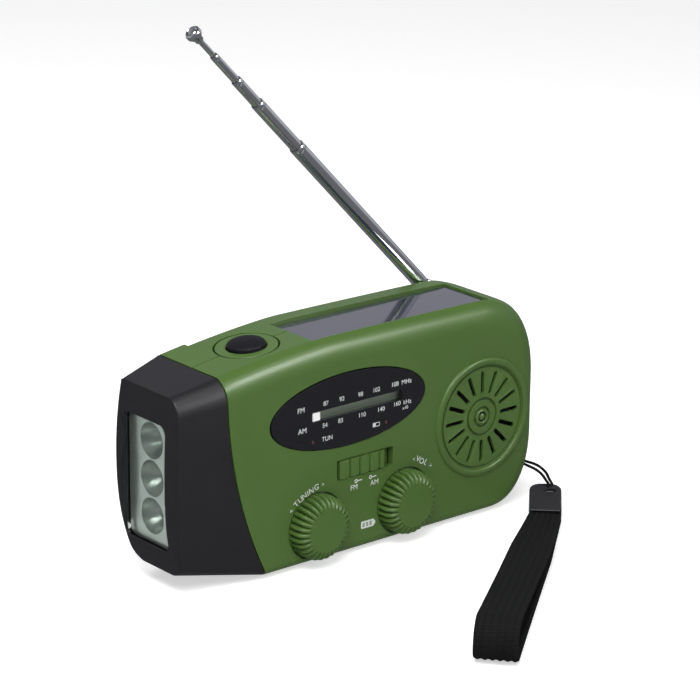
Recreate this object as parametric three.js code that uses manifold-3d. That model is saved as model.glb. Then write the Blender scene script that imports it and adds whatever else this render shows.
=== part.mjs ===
// Hand-crank emergency radio with a solar panel on top, a three-LED lamp at the left end, a telescopic
// antenna at the rear and a wrist strap. Millimetres, +X along the body, +Y to the rear, +Z up.
// The origin is the bottom centre of the box round the object, without its strap.
import * as THREE from "three";
import { mergeVertices } from "three/addons/utils/BufferGeometryUtils.js";
import Module from "manifold-3d";

const wasm = await Module();
wasm.setup();

// ---------- driving dimensions ----------
const MIDDLE = [1.3, -1.45]; // X and Y of the body's own zero: the lamp and the crank stand out from it
const GAP = 0.3; // clearance between neighbouring pieces

const BODY = { right: 62.55, bottom: 1, halfDepth: 14.85, wall: 2.2, roof: 3.5, left: -62 };
const EDGE = { front: [7, 4.5], rear: [1, 1], bottom: [2.6, 2.6], end: [7, 7] }; // inward, along Y
// Front of the lamp bezel: it stands furthest out at its middle height and curls back towards the foot.
const FACE = { x: -65.15, middle: 31, top: 55.9, bottom: 5.2, halfDepth: 14.15, widest: 36 };
const LAMP = { lens: -63, lensThick: 1, plate: -61.7, plateBack: -54.1, board: -49.9, dome: -56.2, neck: -55.6 }; // along X
const WINDOW = { y: 2.1, z: 29.85, halfWidth: 9.6, halfHeight: 17.65, corner: 2.6 };
const LED = { z: 30.2, pitch: 10.6, cup: 5.1, dome: 2.5 };

const BUTTON = { x: -32, z: 61.45, tilt: 0.118, ring: 8.9, collarBore: 5.6, radius: 5.3, side: 0.7, top: 2 };
const SOLAR = { x0: -18, x1: 45.2, y0: -10.85, y1: 7.6, top: 62, thick: 1.2 };

const DIAL = { x: -8.5, z: 42.85, a: 27, b: 10.3, slot0: -21.5, slot1: 10.3, slotZ: 42.95, slotHeight: 2.7 };
const POINTER = { x: -20, halfWidth: 1.3, nib: 1.2 };
const SWITCH = { x0: -12.5, x1: 7.3, z0: 22.8, z1: 28.5, travel: 2.9, pitch: 3.5, groove: 0.9 };
const KNOB = { z: 11.63, tuningX: -19.66, volumeX: 11.49, skirt: 9.15, face: 6.1, well: 9.6, shaft: 3 };
const KNOB_DEPTHS = { floor: -13.85, back: -14.15, shoulder: -16.5, front: -20 }; // along Y
const SPEAKER = { x: 40.2, z: 29.85, ring: 17.4, groove: 14.8, slots: 16, slot0: 6.9, slot1: 13.4 };

const CRANK = { x: 13, z: 28, reach: 31, end: 7, y0: 17.6, y1: 21.6, hingeY: 20.9 };
const GEAR = { module: 0.8, large: 36, small: 10, centres: 18.6, thick: 2.4, yA: 9.6, yB: 6.4 };
const IDLER_ANGLE = 2.9632; // direction from the crank shaft to the idler, radians from +X towards +Z
const ROTOR_ANGLE = 2.767; // direction from the idler to the generator

const STEP = { x0: -42, x1: 58.5, y: 12.5, z: 52.5 }; // ledge along the top rear edge for the antenna
const ANTENNA = { x: 48.5, y: 15, z: 55.6, lean: 0.77 };
const TUBES = [
  // outer radius, bore radius, lower end and upper end measured along the antenna from its swivel
  { outer: 2.2, bore: 2.0, from: 9, to: 74.3 },
  { outer: 1.85, bore: 1.65, from: 28.7, to: 93.7 },
  { outer: 1.5, bore: 1.3, from: 40.8, to: 103.8 },
  { outer: 1.15, bore: 0.95, from: 54.4, to: 114.4 },
  { outer: 0.8, bore: 0, from: 63, to: 121 },
];
const TIP = { from: 121, to: 124.6, neck: 1.2, rim: 2.2 };

const LUG = { x: 56.8, y: 5.2, bar: 1.5, z0: 6.2, z1: 14.6 }; // bar that the strap cord loops round
const CLIP = {
  x: 56.45, y: -24.5, z: 3.3, length: 16.5, width: 9.2, thick: 3.6, round: 3.6, heading: -2.327, tilt: 0.12,
};
const WEBBING = {
  width: 11.6, thick: 1.1, length: 101, rise: 11.4, upper: 2.4, lower: 0.9, gap: 1, heading: -2.449,
};
const CORD_RADIUS = 0.4;

// ---------- materials ----------
function plain(color, roughness, metalness = 0, extra = {}) {
  return new THREE.MeshStandardMaterial({ color, roughness, metalness, ...extra });
}
const GREEN = plain(0x3f6a2c, 0.5);
const BLACK = plain(0x1d1e20, 0.5);
const GLOSS_BLACK = plain(0x0b0c0d, 0.12);
const SOLAR_BLUE = plain(0x1a2233, 0.15);
const CLEAR = plain(0xe8f0f0, 0.05, 0, { transparent: true, opacity: 0.3 });
const CHROME = plain(0xd8dadc, 0.12, 1);
const STEEL = plain(0x8f9296, 0.35, 1);
const WHITE = plain(0xf2f2ee, 0.4);
const SCALE_GREY = plain(0x6f7d6c, 0.3);
const BOARD = plain(0x1f5a35, 0.5);
const PAPER = plain(0x2a2a2c, 0.9);
const WRAP = plain(0x2f6fb0, 0.4);
const FERRITE = plain(0x39393b, 0.7);
const GEAR_WHITE = plain(0xe6e2d6, 0.4);
const RUBBER = plain(0x151515, 0.85);
const WEB = plain(0x101012, 0.95);

// ---------- solids ----------
// A closed geometry as a solid, whichever way its faces were wound.
function solid(geometry) {
  const loose = geometry.index ? geometry.toNonIndexed() : geometry;
  const bare = new THREE.BufferGeometry().setAttribute("position", loose.getAttribute("position"));
  const merged = mergeVertices(bare, 1e-4);
  const corners = merged.index.array;
  const kept = [];
  for (let i = 0; i < corners.length; i += 3) {
    const [a, b, c] = [corners[i], corners[i + 1], corners[i + 2]];
    if (a !== b && b !== c && c !== a) kept.push(a, b, c);
  }
  const build = (triVerts) =>
    new wasm.Manifold(
      new wasm.Mesh({ numProp: 3, vertProperties: merged.attributes.position.array, triVerts }),
    );
  const made = build(new Uint32Array(kept));
  if (made.volume() > 0) return made;
  for (let i = 0; i < kept.length; i += 3) [kept[i + 1], kept[i + 2]] = [kept[i + 2], kept[i + 1]];
  return build(new Uint32Array(kept));
}

// The first solid with the others added to it, and with the others cut from it.
const join = (first, ...rest) => rest.reduce((sum, next) => sum.add(next), first);
const cut = (first, ...rest) => rest.reduce((left, next) => left.subtract(next), first);

const root = new THREE.Group();
root.position.set(...MIDDLE, 0);

// Adds one named piece, made of a geometry or a solid, to a group.
function piece(name, shape, material, group = root) {
  const body = shape.getMesh ? shape : solid(shape);
  const { vertProperties, triVerts } = body.getMesh();
  const geometry = new THREE.BufferGeometry();
  geometry.setAttribute("position", new THREE.BufferAttribute(vertProperties, 3));
  geometry.setIndex(Array.from(triVerts));
  geometry.computeVertexNormals();
  const mesh = new THREE.Mesh(geometry, material);
  mesh.name = name;
  group.add(mesh);
  return mesh;
}

// A box between two corners.
function box([x0, y0, z0], [x1, y1, z1]) {
  const made = new THREE.BoxGeometry(x1 - x0, y1 - y0, z1 - z0);
  return solid(made.translate((x0 + x1) / 2, (y0 + y1) / 2, (z0 + z1) / 2));
}

// A profile of [radius, along] points turned about an axis ("x", "y" or "z") through a centre.
function turned(profile, axis, [x, y, z] = [0, 0, 0], sides = 32) {
  const made = new THREE.LatheGeometry(
    profile.map(([radius, along]) => new THREE.Vector2(radius, along)),
    sides,
  );
  if (axis === "x") made.rotateZ(-Math.PI / 2);
  if (axis === "z") made.rotateX(Math.PI / 2);
  return solid(made.translate(x, y, z));
}

// A round bar from one place to another along an axis, and the same with a hole through it.
function bar(radius, from, to, axis, centre, sides = 32) {
  return turned([[0, from], [radius, from], [radius, to], [0, to]], axis, centre, sides);
}
function sleeve(outer, inner, from, to, axis, centre, sides = 32) {
  return turned(
    [[inner, from], [outer, from], [outer, to], [inner, to], [inner, from]],
    axis,
    centre,
    sides,
  );
}

// A shape drawn in the XZ plane, thick from y0 to y1.
function plateXZ(shape, y0, y1, curveSegments = 12) {
  const made = new THREE.ExtrudeGeometry(shape, { depth: y1 - y0, bevelEnabled: false, curveSegments });
  return solid(made.rotateX(Math.PI / 2).translate(0, y1, 0));
}

// A shape drawn in the YZ plane, thick from x0 to x1.
function plateYZ(shape, x0, x1, curveSegments = 6) {
  const made = new THREE.ExtrudeGeometry(shape, { depth: x1 - x0, bevelEnabled: false, curveSegments });
  made.rotateX(Math.PI / 2).rotateZ(Math.PI / 2);
  return solid(made.translate(x0, 0, 0));
}

function roundedRectangle(cx, cy, halfWidth, halfHeight, radius) {
  const shape = new THREE.Shape();
  const [x0, x1, y0, y1] = [cx - halfWidth, cx + halfWidth, cy - halfHeight, cy + halfHeight];
  shape.moveTo(x0 + radius, y0);
  shape.lineTo(x1 - radius, y0);
  shape.absarc(x1 - radius, y0 + radius, radius, -Math.PI / 2, 0);
  shape.lineTo(x1, y1 - radius);
  shape.absarc(x1 - radius, y1 - radius, radius, 0, Math.PI / 2);
  shape.lineTo(x0 + radius, y1);
  shape.absarc(x0 + radius, y1 - radius, radius, Math.PI / 2, Math.PI);
  shape.lineTo(x0, y0 + radius);
  shape.absarc(x0 + radius, y0 + radius, radius, Math.PI, Math.PI * 1.5);
  return shape;
}

function ellipse(cx, cy, a, b) {
  const shape = new THREE.Shape();
  shape.absellipse(cx, cy, a, b, 0, Math.PI * 2);
  return shape;
}

// A closed skin over a row of rings that all have the same number of points; the ends are flat fans.
function skin(rings) {
  const around = rings[0].length;
  const spots = [];
  const triangle = (a, b, c) => spots.push(...a, ...b, ...c);
  for (let r = 0; r + 1 < rings.length; r++)
    for (let i = 0; i < around; i++) {
      const j = (i + 1) % around;
      triangle(rings[r][i], rings[r][j], rings[r + 1][j]);
      triangle(rings[r][i], rings[r + 1][j], rings[r + 1][i]);
    }
  const [first, last] = [rings[0], rings[rings.length - 1]];
  for (let i = 1; i + 1 < around; i++) {
    triangle(first[0], first[i + 1], first[i]);
    triangle(last[0], last[i], last[i + 1]);
  }
  const made = new THREE.BufferGeometry();
  made.setAttribute("position", new THREE.BufferAttribute(new Float32Array(spots), 3));
  return solid(made);
}

// A skin between two rings that may curve along Z. Each ring has a rear side and a front side, both lists
// of [x, y, z] from top to bottom; the ends are strips from side to side.
function sidedSkin(ringA, ringB) {
  const last = ringA.rear.length - 1;
  const spots = [];
  const quad = (a, b, c, d) => spots.push(...a, ...b, ...c, ...a, ...c, ...d);
  for (let i = 0; i < last; i++) {
    quad(ringA.rear[i], ringA.rear[i + 1], ringB.rear[i + 1], ringB.rear[i]);
    quad(ringA.front[i + 1], ringA.front[i], ringB.front[i], ringB.front[i + 1]);
    quad(ringA.front[i], ringA.front[i + 1], ringA.rear[i + 1], ringA.rear[i]);
    quad(ringB.rear[i], ringB.rear[i + 1], ringB.front[i + 1], ringB.front[i]);
  }
  quad(ringA.front[0], ringA.rear[0], ringB.rear[0], ringB.front[0]);
  quad(ringA.rear[last], ringA.front[last], ringB.front[last], ringB.rear[last]);
  const made = new THREE.BufferGeometry();
  made.setAttribute("position", new THREE.BufferAttribute(new Float32Array(spots), 3));
  return solid(made);
}

// ---------- the body's form ----------
// Height of the roof along the body: it falls towards the lamp and is nearly level over the panel.
function roofAt(x) {
  const [flat, fall] = [x + 14, Math.max(0, -14 - x)];
  return x > -14 ? 63.25 - 0.00013 * flat * flat : 63.25 - 0.062 * fall - 0.0014 * fall * fall;
}

// How far an edge rounding of [inward, along Y] size moves the outline in, at a distance from the middle.
function inset(y, [inward, along]) {
  const into = Math.abs(y) - (BODY.halfDepth - along);
  if (into <= 0) return 0;
  const share = Math.min(1, into / along);
  return inward * (1 - Math.sqrt(1 - share * share));
}

// Body outline in the XZ plane at one depth, moved in by the edge roundings and by a wall.
function outline(y, wall = 0, roof = wall) {
  const upper = inset(y, y < 0 ? EDGE.front : EDGE.rear) + roof;
  const lower = inset(y, EDGE.bottom) + wall;
  const end = inset(y, EDGE.end) + wall;
  const right = BODY.right - end;
  const bottom = BODY.bottom + lower;
  const [cornerX, cornerZ, topX, topZ] = [17 - end * 0.8, 21 - lower, 21 - end * 0.5, 25 - upper];
  const ring = [];
  const add = (x, z) => ring.push([x, y, z]);
  add(BODY.left, bottom);
  for (let i = 0; i <= 8; i++) {
    const turn = (i / 8) * (Math.PI / 2);
    add(right - cornerX + cornerX * Math.sin(turn) ** 0.88, bottom + cornerZ * (1 - Math.cos(turn) ** 0.88));
  }
  const shoulder = right - topX;
  const shoulderZ = roofAt(shoulder) - upper;
  for (let i = 0; i <= 9; i++) {
    const turn = (i / 9) * (Math.PI / 2);
    add(shoulder + topX * Math.cos(turn) ** 0.88, shoulderZ - topZ * (1 - Math.sin(turn) ** 0.88));
  }
  for (const x of [30, 10, -6, -14, -20, -26, -32, -38, -44, -50, BODY.left])
    if (x < shoulder - 2) add(x, roofAt(x) - upper);
  return ring;
}

function depths(wall = 0) {
  const most = BODY.halfDepth;
  const along = [0, 0.1, 0.45, 1.1, 2, 3.3, 4.6, 7].map((d) => most - d);
  const limited = along.map((d) => Math.min(d, most - wall));
  const rear = [...new Set(limited)];
  return [...rear.map((d) => -d), ...rear.reverse()];
}

// The bezel meets the shells on a line that leans out towards the bottom and a little at the top; this
// is the region of the XZ plane to its right, shifted along X.
const SEAM = [[-52.3, 75], [-49.5, 53], [-49, 36], [-45.2, 18], [-36, 0]]; // a line, then one curve
const [SEAM_TOP, ...SEAM_CURVE] = SEAM.map(([x, z]) => new THREE.Vector2(x, z));
const seamCurve = new THREE.CubicBezierCurve(...SEAM_CURVE);
function seamRegion(shift) {
  const shape = new THREE.Shape();
  shape.moveTo(SEAM_TOP.x + shift, SEAM_TOP.y);
  for (const spot of seamCurve.getPoints(14)) shape.lineTo(spot.x + shift, spot.y);
  shape.lineTo(-33 + shift, -6);
  shape.lineTo(80, -6);
  shape.lineTo(80, SEAM_TOP.y);
  return shape;
}
function seamAt(z) {
  const bend = SEAM_CURVE[0];
  if (z >= bend.y) return bend.x + ((z - bend.y) * (SEAM_TOP.x - bend.x)) / (SEAM_TOP.y - bend.y);
  let [low, high] = [0, 1];
  for (let i = 0; i < 30; i++) {
    const middle = (low + high) / 2;
    if (seamCurve.getPoint(middle).y > z) low = middle;
    else high = middle;
  }
  return seamCurve.getPoint(low).x;
}

const block = skin(depths().map((y) => outline(y)));
const hollow = cut(
  skin(depths(BODY.wall).map((y) => outline(y, BODY.wall, BODY.roof))),
  box([-80, 10.3, 50.3], [80, 20, 80]),
);
const rightOfSeam = plateXZ(seamRegion(GAP / 2), -20, 20);
const casing = cut(block.intersect(rightOfSeam), hollow);

// ---------- two shells ----------
const buttonAxis = new THREE.Group();
buttonAxis.position.set(BUTTON.x, 0, BUTTON.z);
buttonAxis.rotation.y = -BUTTON.tilt;
root.add(buttonAxis);
buttonAxis.updateMatrix();

const buttonHole = solid(
  new THREE.CylinderGeometry(BUTTON.ring + 0.15, BUTTON.ring + 0.15, 14, 40)
    .rotateX(Math.PI / 2)
    .applyMatrix4(buttonAxis.matrix),
);
const solarHole = box([SOLAR.x0, SOLAR.y0, 50], [SOLAR.x1, SOLAR.y1, 70]);

function speakerSlots() {
  const made = [];
  for (let i = 0; i < SPEAKER.slots; i++) {
    const slot = new THREE.BoxGeometry(SPEAKER.slot1 - SPEAKER.slot0, 8, 1.1);
    slot.translate((SPEAKER.slot1 + SPEAKER.slot0) / 2, 0, 0);
    slot.rotateY((i / SPEAKER.slots) * Math.PI * 2);
    made.push(solid(slot.translate(SPEAKER.x, -BODY.halfDepth, SPEAKER.z)));
  }
  return made;
}

const FEET = [
  ["foot_front_left", -26, -7.5],
  ["foot_front_right", 42, -7.5],
  ["foot_rear_left", -26, 10],
  ["foot_rear_right", 42, 10],
];
const footPockets = FEET.map(([, x, y]) => bar(2.5, 0, 1.9, "z", [x, y, 0], 20));

const SCREWS = [
  ["case_screw_upper_left", -42, 46],
  ["case_screw_upper_right", 56.5, 38],
  ["case_screw_lower_left", -30, 22],
  ["case_screw_lower_right", 46, 8.5],
];

function frontShell() {
  const face = -BODY.halfDepth;
  const raisedRing = sleeve(SPEAKER.ring, SPEAKER.groove + 0.4, face - 0.7, face + 1, "y", [
    SPEAKER.x, 0, SPEAKER.z,
  ], 40);
  const openings = [
    plateXZ(ellipse(DIAL.x, DIAL.z, DIAL.a + 0.25, DIAL.b + 0.25), face - 2, face + 1.5, 32),
    box([-22.3, -16, 38.5], [12.5, -10, 47.5]),
    box([SWITCH.x0, -16, SWITCH.z0], [SWITCH.x1, -10, SWITCH.z1]),
    bar(KNOB.shaft + 0.6, -16, -10, "y", [KNOB.tuningX, 0, KNOB.z]),
    bar(KNOB.shaft + 0.6, -16, -10, "y", [KNOB.volumeX, 0, KNOB.z]),
    bar(KNOB.well, -16, KNOB_DEPTHS.floor, "y", [KNOB.tuningX, 0, KNOB.z], 36),
    bar(KNOB.well, -16, KNOB_DEPTHS.floor, "y", [KNOB.volumeX, 0, KNOB.z], 36),
    ...speakerSlots(),
  ];
  const half = casing.intersect(box([-80, -30, -10], [80, -GAP / 2, 80]));
  return cut(join(half, raisedRing), buttonHole, solarHole, ...footPockets, ...openings);
}
piece("front_shell", frontShell(), GREEN);

function rearShell() {
  const back = BODY.halfDepth;
  const half = casing.intersect(box([-80, GAP / 2, -10], [80, 30, 80]));
  const crankBoss = bar(7, 10.5, 17.2, "y", [CRANK.x, 0, CRANK.z]);
  const clip = join(
    box([-24, 14, 49.6], [-20, 18.7, 51.9]),
    box([-24, 17.5, 49.6], [-20, 18.7, 58.2]),
  );
  const lugBlock = box([50, 1, 4], [62, 13, 18]).intersect(block);
  const bosses = SCREWS.map(([, x, z]) => bar(3.4, 8.5, back - 0.3, "y", [x, 0, z], 20));
  const step = box([STEP.x0, STEP.y, STEP.z], [STEP.x1, 30, 80]);
  const lugPocket = cut(
    box([52, 0.8, LUG.z0], [70, 9.4, LUG.z1]),
    bar(LUG.bar, 0, 30, "z", [LUG.x, LUG.y, 0], 16),
  );
  const holes = SCREWS.flatMap(([, x, z]) => [
    bar(1.6, 0, 20, "y", [x, 0, z], 16),
    bar(2.9, 12.2, 20, "y", [x, 0, z], 20),
  ]);
  return cut(
    join(half, crankBoss, lugBlock, ...bosses),
    hollow.intersect(box([CRANK.x - 8, 0, 20], [CRANK.x + 8, 12.65, 36])),
    step,
    buttonHole,
    solarHole,
    lugPocket,
    ...footPockets,
    ...holes,
    bar(3.3, 0, 20, "y", [CRANK.x, 0, CRANK.z]),
    bar(2.4, 8, 20, "y", [ANTENNA.x, 0, ANTENNA.z], 20),
    box([-38.5, 8, 8.9], [-24.1, 20, 16]),
    box([-21.3, 8, 10.4], [-12.7, 20, 14.4]),
  ).add(clip);
}
piece("rear_shell", rearShell(), GREEN);

for (const [name, x, y] of FEET) piece(name, bar(2.2, 0, 1.6, "z", [x, y, 0], 20), RUBBER);

for (const [name, x, z] of SCREWS)
  piece(
    name,
    turned([[0, 4], [1.3, 5], [1.3, 12.5], [2.6, 12.5], [2.6, 13.9], [0, 14.2]], "y", [x, 0, z], 16),
    STEEL,
  );

// ---------- lamp ----------
// A cross-section of the bezel as the two sides of a ring, from the top centre line down. Each corner
// is a size along Y and along Z; the top corners are rounded more at the front than at the rear.
function bezelRing({ top, bottom, widthAt, frontTop, rearTop, lower, x }) {
  const side = (sign, upper) => {
    const spots = [];
    const add = (inward, z) => spots.push([x(z), sign * (widthAt(z) - inward), z]);
    for (let i = 0; i <= 6; i++) {
      const turn = (i / 6) * (Math.PI / 2);
      add(upper[0] * (1 - Math.sin(turn)), top - upper[1] * (1 - Math.cos(turn)));
    }
    for (let i = 1; i < 10; i++) add(0, top - upper[1] - (i / 10) * (top - bottom - upper[1] - lower[1]));
    for (let i = 0; i <= 6; i++) {
      const turn = (i / 6) * (Math.PI / 2);
      add(lower[0] * (1 - Math.cos(turn)), bottom + lower[1] * (1 - Math.sin(turn)));
    }
    return spots;
  };
  return { rear: side(1, rearTop), front: side(-1, frontTop) };
}

const faceAt = (z) =>
  z > FACE.middle
    ? FACE.x + 0.8 * ((z - FACE.middle) / 22) ** 2
    : FACE.x + 3 * ((FACE.middle - z) / 25) ** 2.6;

const windowShape = (grow) =>
  roundedRectangle(
    WINDOW.y, WINDOW.z, WINDOW.halfWidth + grow, WINDOW.halfHeight + grow, WINDOW.corner + grow / 2,
  );

function lampBezel() {
  const atSeam = bezelRing({
    top: roofAt(seamAt(60)) - 0.02,
    bottom: BODY.bottom,
    widthAt: () => BODY.halfDepth,
    frontTop: [EDGE.front[1], EDGE.front[0]],
    rearTop: EDGE.rear,
    lower: EDGE.bottom,
    x: (z) => seamAt(z) - GAP / 2,
  });
  const atFace = bezelRing({
    top: FACE.top,
    bottom: FACE.bottom,
    widthAt: (z) => FACE.halfDepth - 0.004 * (z - FACE.widest) ** 2,
    frontTop: [4.4, 4.8],
    rearTop: [0.9, 0.9],
    lower: [4.7, 4],
    x: faceAt,
  });
  return cut(
    sidedSkin(atSeam, atFace),
    plateYZ(windowShape(0), -70, -55),
    plateYZ(windowShape(0.9), LAMP.lens - 0.1, -54),
    box([-59, -11.6, 8.9], [-20, 12, 51.6]),
  );
}
piece("lamp_bezel", lampBezel(), BLACK);
piece("lamp_lens", plateYZ(windowShape(0.7), LAMP.lens, LAMP.lens + LAMP.lensThick), CLEAR);

const ledHeights = [1, 0, -1].map((row) => LED.z + row * LED.pitch);
const cups = ledHeights.map((z) =>
  turned([[0, -62.6], [LED.cup, -62.6], [LED.cup, -61.6], [2.9, LAMP.neck], [2.9, -51], [0, -51]], "x", [
    0, WINDOW.y, z,
  ], 16),
);
piece("lamp_reflector", cut(plateYZ(windowShape(0.4), LAMP.plate, LAMP.plateBack), ...cups), CHROME);
piece("led_board", box([LAMP.board, -8, 13.8], [LAMP.board + 1.5, 9.6, 46.6]), BOARD);
["led_upper", "led_middle", "led_lower"].forEach((name, i) => {
  const [base, shoulder] = [LAMP.board - GAP, LAMP.dome];
  const dome = [[0, base], [LED.dome, base], [LED.dome, shoulder]];
  for (let k = 1; k <= 3; k++) {
    const turn = (k / 3) * (Math.PI / 2);
    dome.push([LED.dome * Math.cos(turn), shoulder - LED.dome * Math.sin(turn)]);
  }
  dome[dome.length - 1][0] = 0;
  piece(name, turned(dome, "x", [0, WINDOW.y, ledHeights[i]], 12), CLEAR);
});

// ---------- top: torch button and solar panel ----------
piece("button_collar", sleeve(BUTTON.ring - 0.15, BUTTON.collarBore, -2.4, 0.15, "z", [0, 0, 0], 32),
  GREEN, buttonAxis);

function torchButton() {
  const { radius, side, top } = BUTTON;
  const profile = [[0, -5.2], [1.6, -5.2], [1.6, -2.9], [radius, -2.9], [radius, side]];
  for (let k = 1; k <= 4; k++) {
    const turn = (k / 4) * (Math.PI / 2);
    profile.push([radius * Math.cos(turn), side + (top - side) * Math.sin(turn)]);
  }
  profile[profile.length - 1][0] = 0;
  return turned(profile, "z", [0, 0, 0], 32);
}
piece("torch_button", torchButton(), BLACK, buttonAxis);
piece("torch_switch", box([-3.2, -3.2, -11], [3.2, 3.2, -6.5]), BLACK, buttonAxis);

piece(
  "solar_panel",
  box(
    [SOLAR.x0 + GAP, SOLAR.y0 + GAP, SOLAR.top - SOLAR.thick],
    [SOLAR.x1 - GAP, SOLAR.y1 - GAP, SOLAR.top],
  ),
  SOLAR_BLUE,
);
piece(
  "solar_tray",
  join(
    box([-19.5, -11.5, 56.8], [45.6, 8.5, 58.3]),
    box([SOLAR.x0 + GAP, SOLAR.y0 + GAP, 58], [SOLAR.x1 - GAP, SOLAR.y1 - GAP, 60.5]),
  ),
  BLACK,
);

// ---------- front controls ----------
function dialWindow() {
  const slot = roundedRectangle(
    (DIAL.slot0 + DIAL.slot1) / 2,
    DIAL.slotZ,
    (DIAL.slot1 - DIAL.slot0) / 2,
    DIAL.slotHeight / 2,
    0.4,
  );
  return cut(
    plateXZ(ellipse(DIAL.x, DIAL.z, DIAL.a, DIAL.b), -15.15, -13.65, 32),
    plateXZ(slot, -20, -10, 6),
  );
}
piece("dial_window", dialWindow(), GLOSS_BLACK);
piece(
  "dial_pointer",
  join(
    box([POINTER.x - POINTER.halfWidth, -13.35, 39], [POINTER.x + POINTER.halfWidth, -12.75, 47]),
    box(
      [POINTER.x - POINTER.halfWidth, -15.1, DIAL.slotZ - POINTER.nib],
      [POINTER.x + POINTER.halfWidth, -13, DIAL.slotZ + POINTER.nib],
    ),
  ),
  WHITE,
);
piece("dial_scale", box([-21.9, -12.45, 39.2], [12, -11.7, 46.8]), SCALE_GREY);

// A control knob: a skirt that curves in to a flat face.
function knob(x) {
  const { back, shoulder, front } = KNOB_DEPTHS;
  const profile = [[0, back], [KNOB.skirt, back], [KNOB.skirt, shoulder]];
  for (let k = 1; k <= 4; k++) {
    const turn = (k / 4) * (Math.PI / 2);
    profile.push([
      KNOB.face + (KNOB.skirt - KNOB.face) * Math.cos(turn),
      shoulder + (front - shoulder) * Math.sin(turn),
    ]);
  }
  profile.push([0, front]);
  return cut(
    turned(profile, "y", [x, 0, KNOB.z], 36),
    bar(KNOB.shaft + 0.25, -18.5, -13, "y", [x, 0, KNOB.z], 16),
  );
}
for (const [role, x] of [["tuning", KNOB.tuningX], ["volume", KNOB.volumeX]]) {
  piece(role + "_knob", knob(x), GREEN);
  piece(role + "_shaft", bar(KNOB.shaft, -18.2, -12.75, "y", [x, 0, KNOB.z], 20), STEEL);
}
piece(
  "tuning_capacitor",
  box([KNOB.tuningX - 7.5, -12.4, KNOB.z - 7.5], [KNOB.tuningX + 7.5, -8.5, KNOB.z + 7.5]),
  WHITE,
);
piece("volume_potentiometer", bar(8, -12.4, -8.5, "y", [KNOB.volumeX, 0, KNOB.z]), STEEL);

// The slider: a grooved grip in the slot on a plate that hides the slot from behind.
function bandSlider() {
  const [x0, x1] = [SWITCH.x0 + 0.9, SWITCH.x1 - 0.2 - SWITCH.travel];
  const [z0, z1] = [SWITCH.z0 + 0.25, SWITCH.z1 - 0.25];
  const grooves = [1, 2, 3, 4].map((i) => {
    const x = x0 + i * SWITCH.pitch;
    return box([x - SWITCH.groove / 2, -16, z0 - 1], [x + SWITCH.groove / 2, -14.5, z1 + 1]);
  });
  const plate = box([-15.6, -12.35, 21.8], [SWITCH.x1 + 0.1, -11.75, 29.5]);
  return join(cut(box([x0, -15.3, z0], [x1, -12, z1]), ...grooves), plate);
}
piece("band_slider", bandSlider(), GREEN);
piece("band_switch", box([-12, -11.45, 21.9], [6.8, -8.5, 29.4]), STEEL);

// ---------- speaker ----------
piece(
  "speaker_basket",
  turned(
    [[0, -0.6], [8.5, -0.6], [8.5, -5.2], [9.5, -5.6], [14.4, -10.2], [15.6, -10.4], [15.6, -12.3],
     [13.9, -12.3], [13.9, -11.2], [8, -6.6], [0, -6.6]],
    "y", [SPEAKER.x, 0, SPEAKER.z], 24,
  ),
  STEEL,
);
piece(
  "speaker_cone",
  turned(
    [[0, -7.6], [4, -7.6], [12.6, -11.3], [13.5, -11.6], [13.5, -12.1], [12.4, -11.9], [4.4, -8.5],
     [3, -9.4], [0, -9.9]],
    "y", [SPEAKER.x, 0, SPEAKER.z], 24,
  ),
  PAPER,
);

// ---------- electronics ----------
piece("main_board", box([-34, -8.2, 4.8], [22.5, -6.8, 50]), BOARD);
piece("battery_pack", box([-30, -5.6, 4], [14, 4.2, 14]), WRAP);
piece("ferrite_rod", bar(4, -12, 44, "x", [0, -1, 51], 20), FERRITE);

// ---------- crank and generator ----------
// Outline of a spur gear round a centre, with one tooth pointing at an angle.
function gearOutline([cx, cz], teeth, angle) {
  const pitch = (GEAR.module * teeth) / 2;
  const [root, tip] = [pitch - 1.25 * GEAR.module, pitch + 0.9 * GEAR.module];
  const step = (Math.PI * 2) / teeth;
  const corners = [[root, -0.3], [tip, -0.13], [tip, 0.13], [root, 0.3]];
  const spots = [];
  for (let i = 0; i < teeth; i++)
    for (const [radius, share] of corners) {
      const turn = angle + (i + share) * step;
      spots.push(new THREE.Vector2(cx + radius * Math.cos(turn), cz + radius * Math.sin(turn)));
    }
  return new THREE.Shape(spots);
}
const towards = ([x, z], angle) => [
  x + GEAR.centres * Math.cos(angle),
  z + GEAR.centres * Math.sin(angle),
];
const crankCentre = [CRANK.x, CRANK.z];
const idlerCentre = towards(crankCentre, IDLER_ANGLE);
const rotorCentre = towards(idlerCentre, ROTOR_ANGLE);
const at = ([x, z]) => [x, 0, z];
const halfTooth = Math.PI / GEAR.small;

piece(
  "drive_gear",
  cut(
    plateXZ(gearOutline(crankCentre, GEAR.large, IDLER_ANGLE), GEAR.yA, GEAR.yA + GEAR.thick),
    bar(3.25, 0, 20, "y", at(crankCentre), 24),
  ),
  GEAR_WHITE,
);
piece(
  "idler_gear",
  join(
    plateXZ(gearOutline(idlerCentre, GEAR.small, IDLER_ANGLE + Math.PI + halfTooth), 8.2, 12),
    plateXZ(gearOutline(idlerCentre, GEAR.large, ROTOR_ANGLE), GEAR.yB, GEAR.yB + GEAR.thick),
    bar(1.2, 4.8, 12.3, "y", at(idlerCentre), 16),
  ),
  GEAR_WHITE,
);
piece(
  "rotor_pinion",
  join(
    plateXZ(gearOutline(rotorCentre, GEAR.small, ROTOR_ANGLE + Math.PI + halfTooth), 6.2, 9),
    bar(1, 4.5, 9.3, "y", at(rotorCentre), 16),
  ),
  GEAR_WHITE,
);
piece("generator", bar(9.5, -5.2, 4.2, "y", at(rotorCentre), 32), STEEL);
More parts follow.
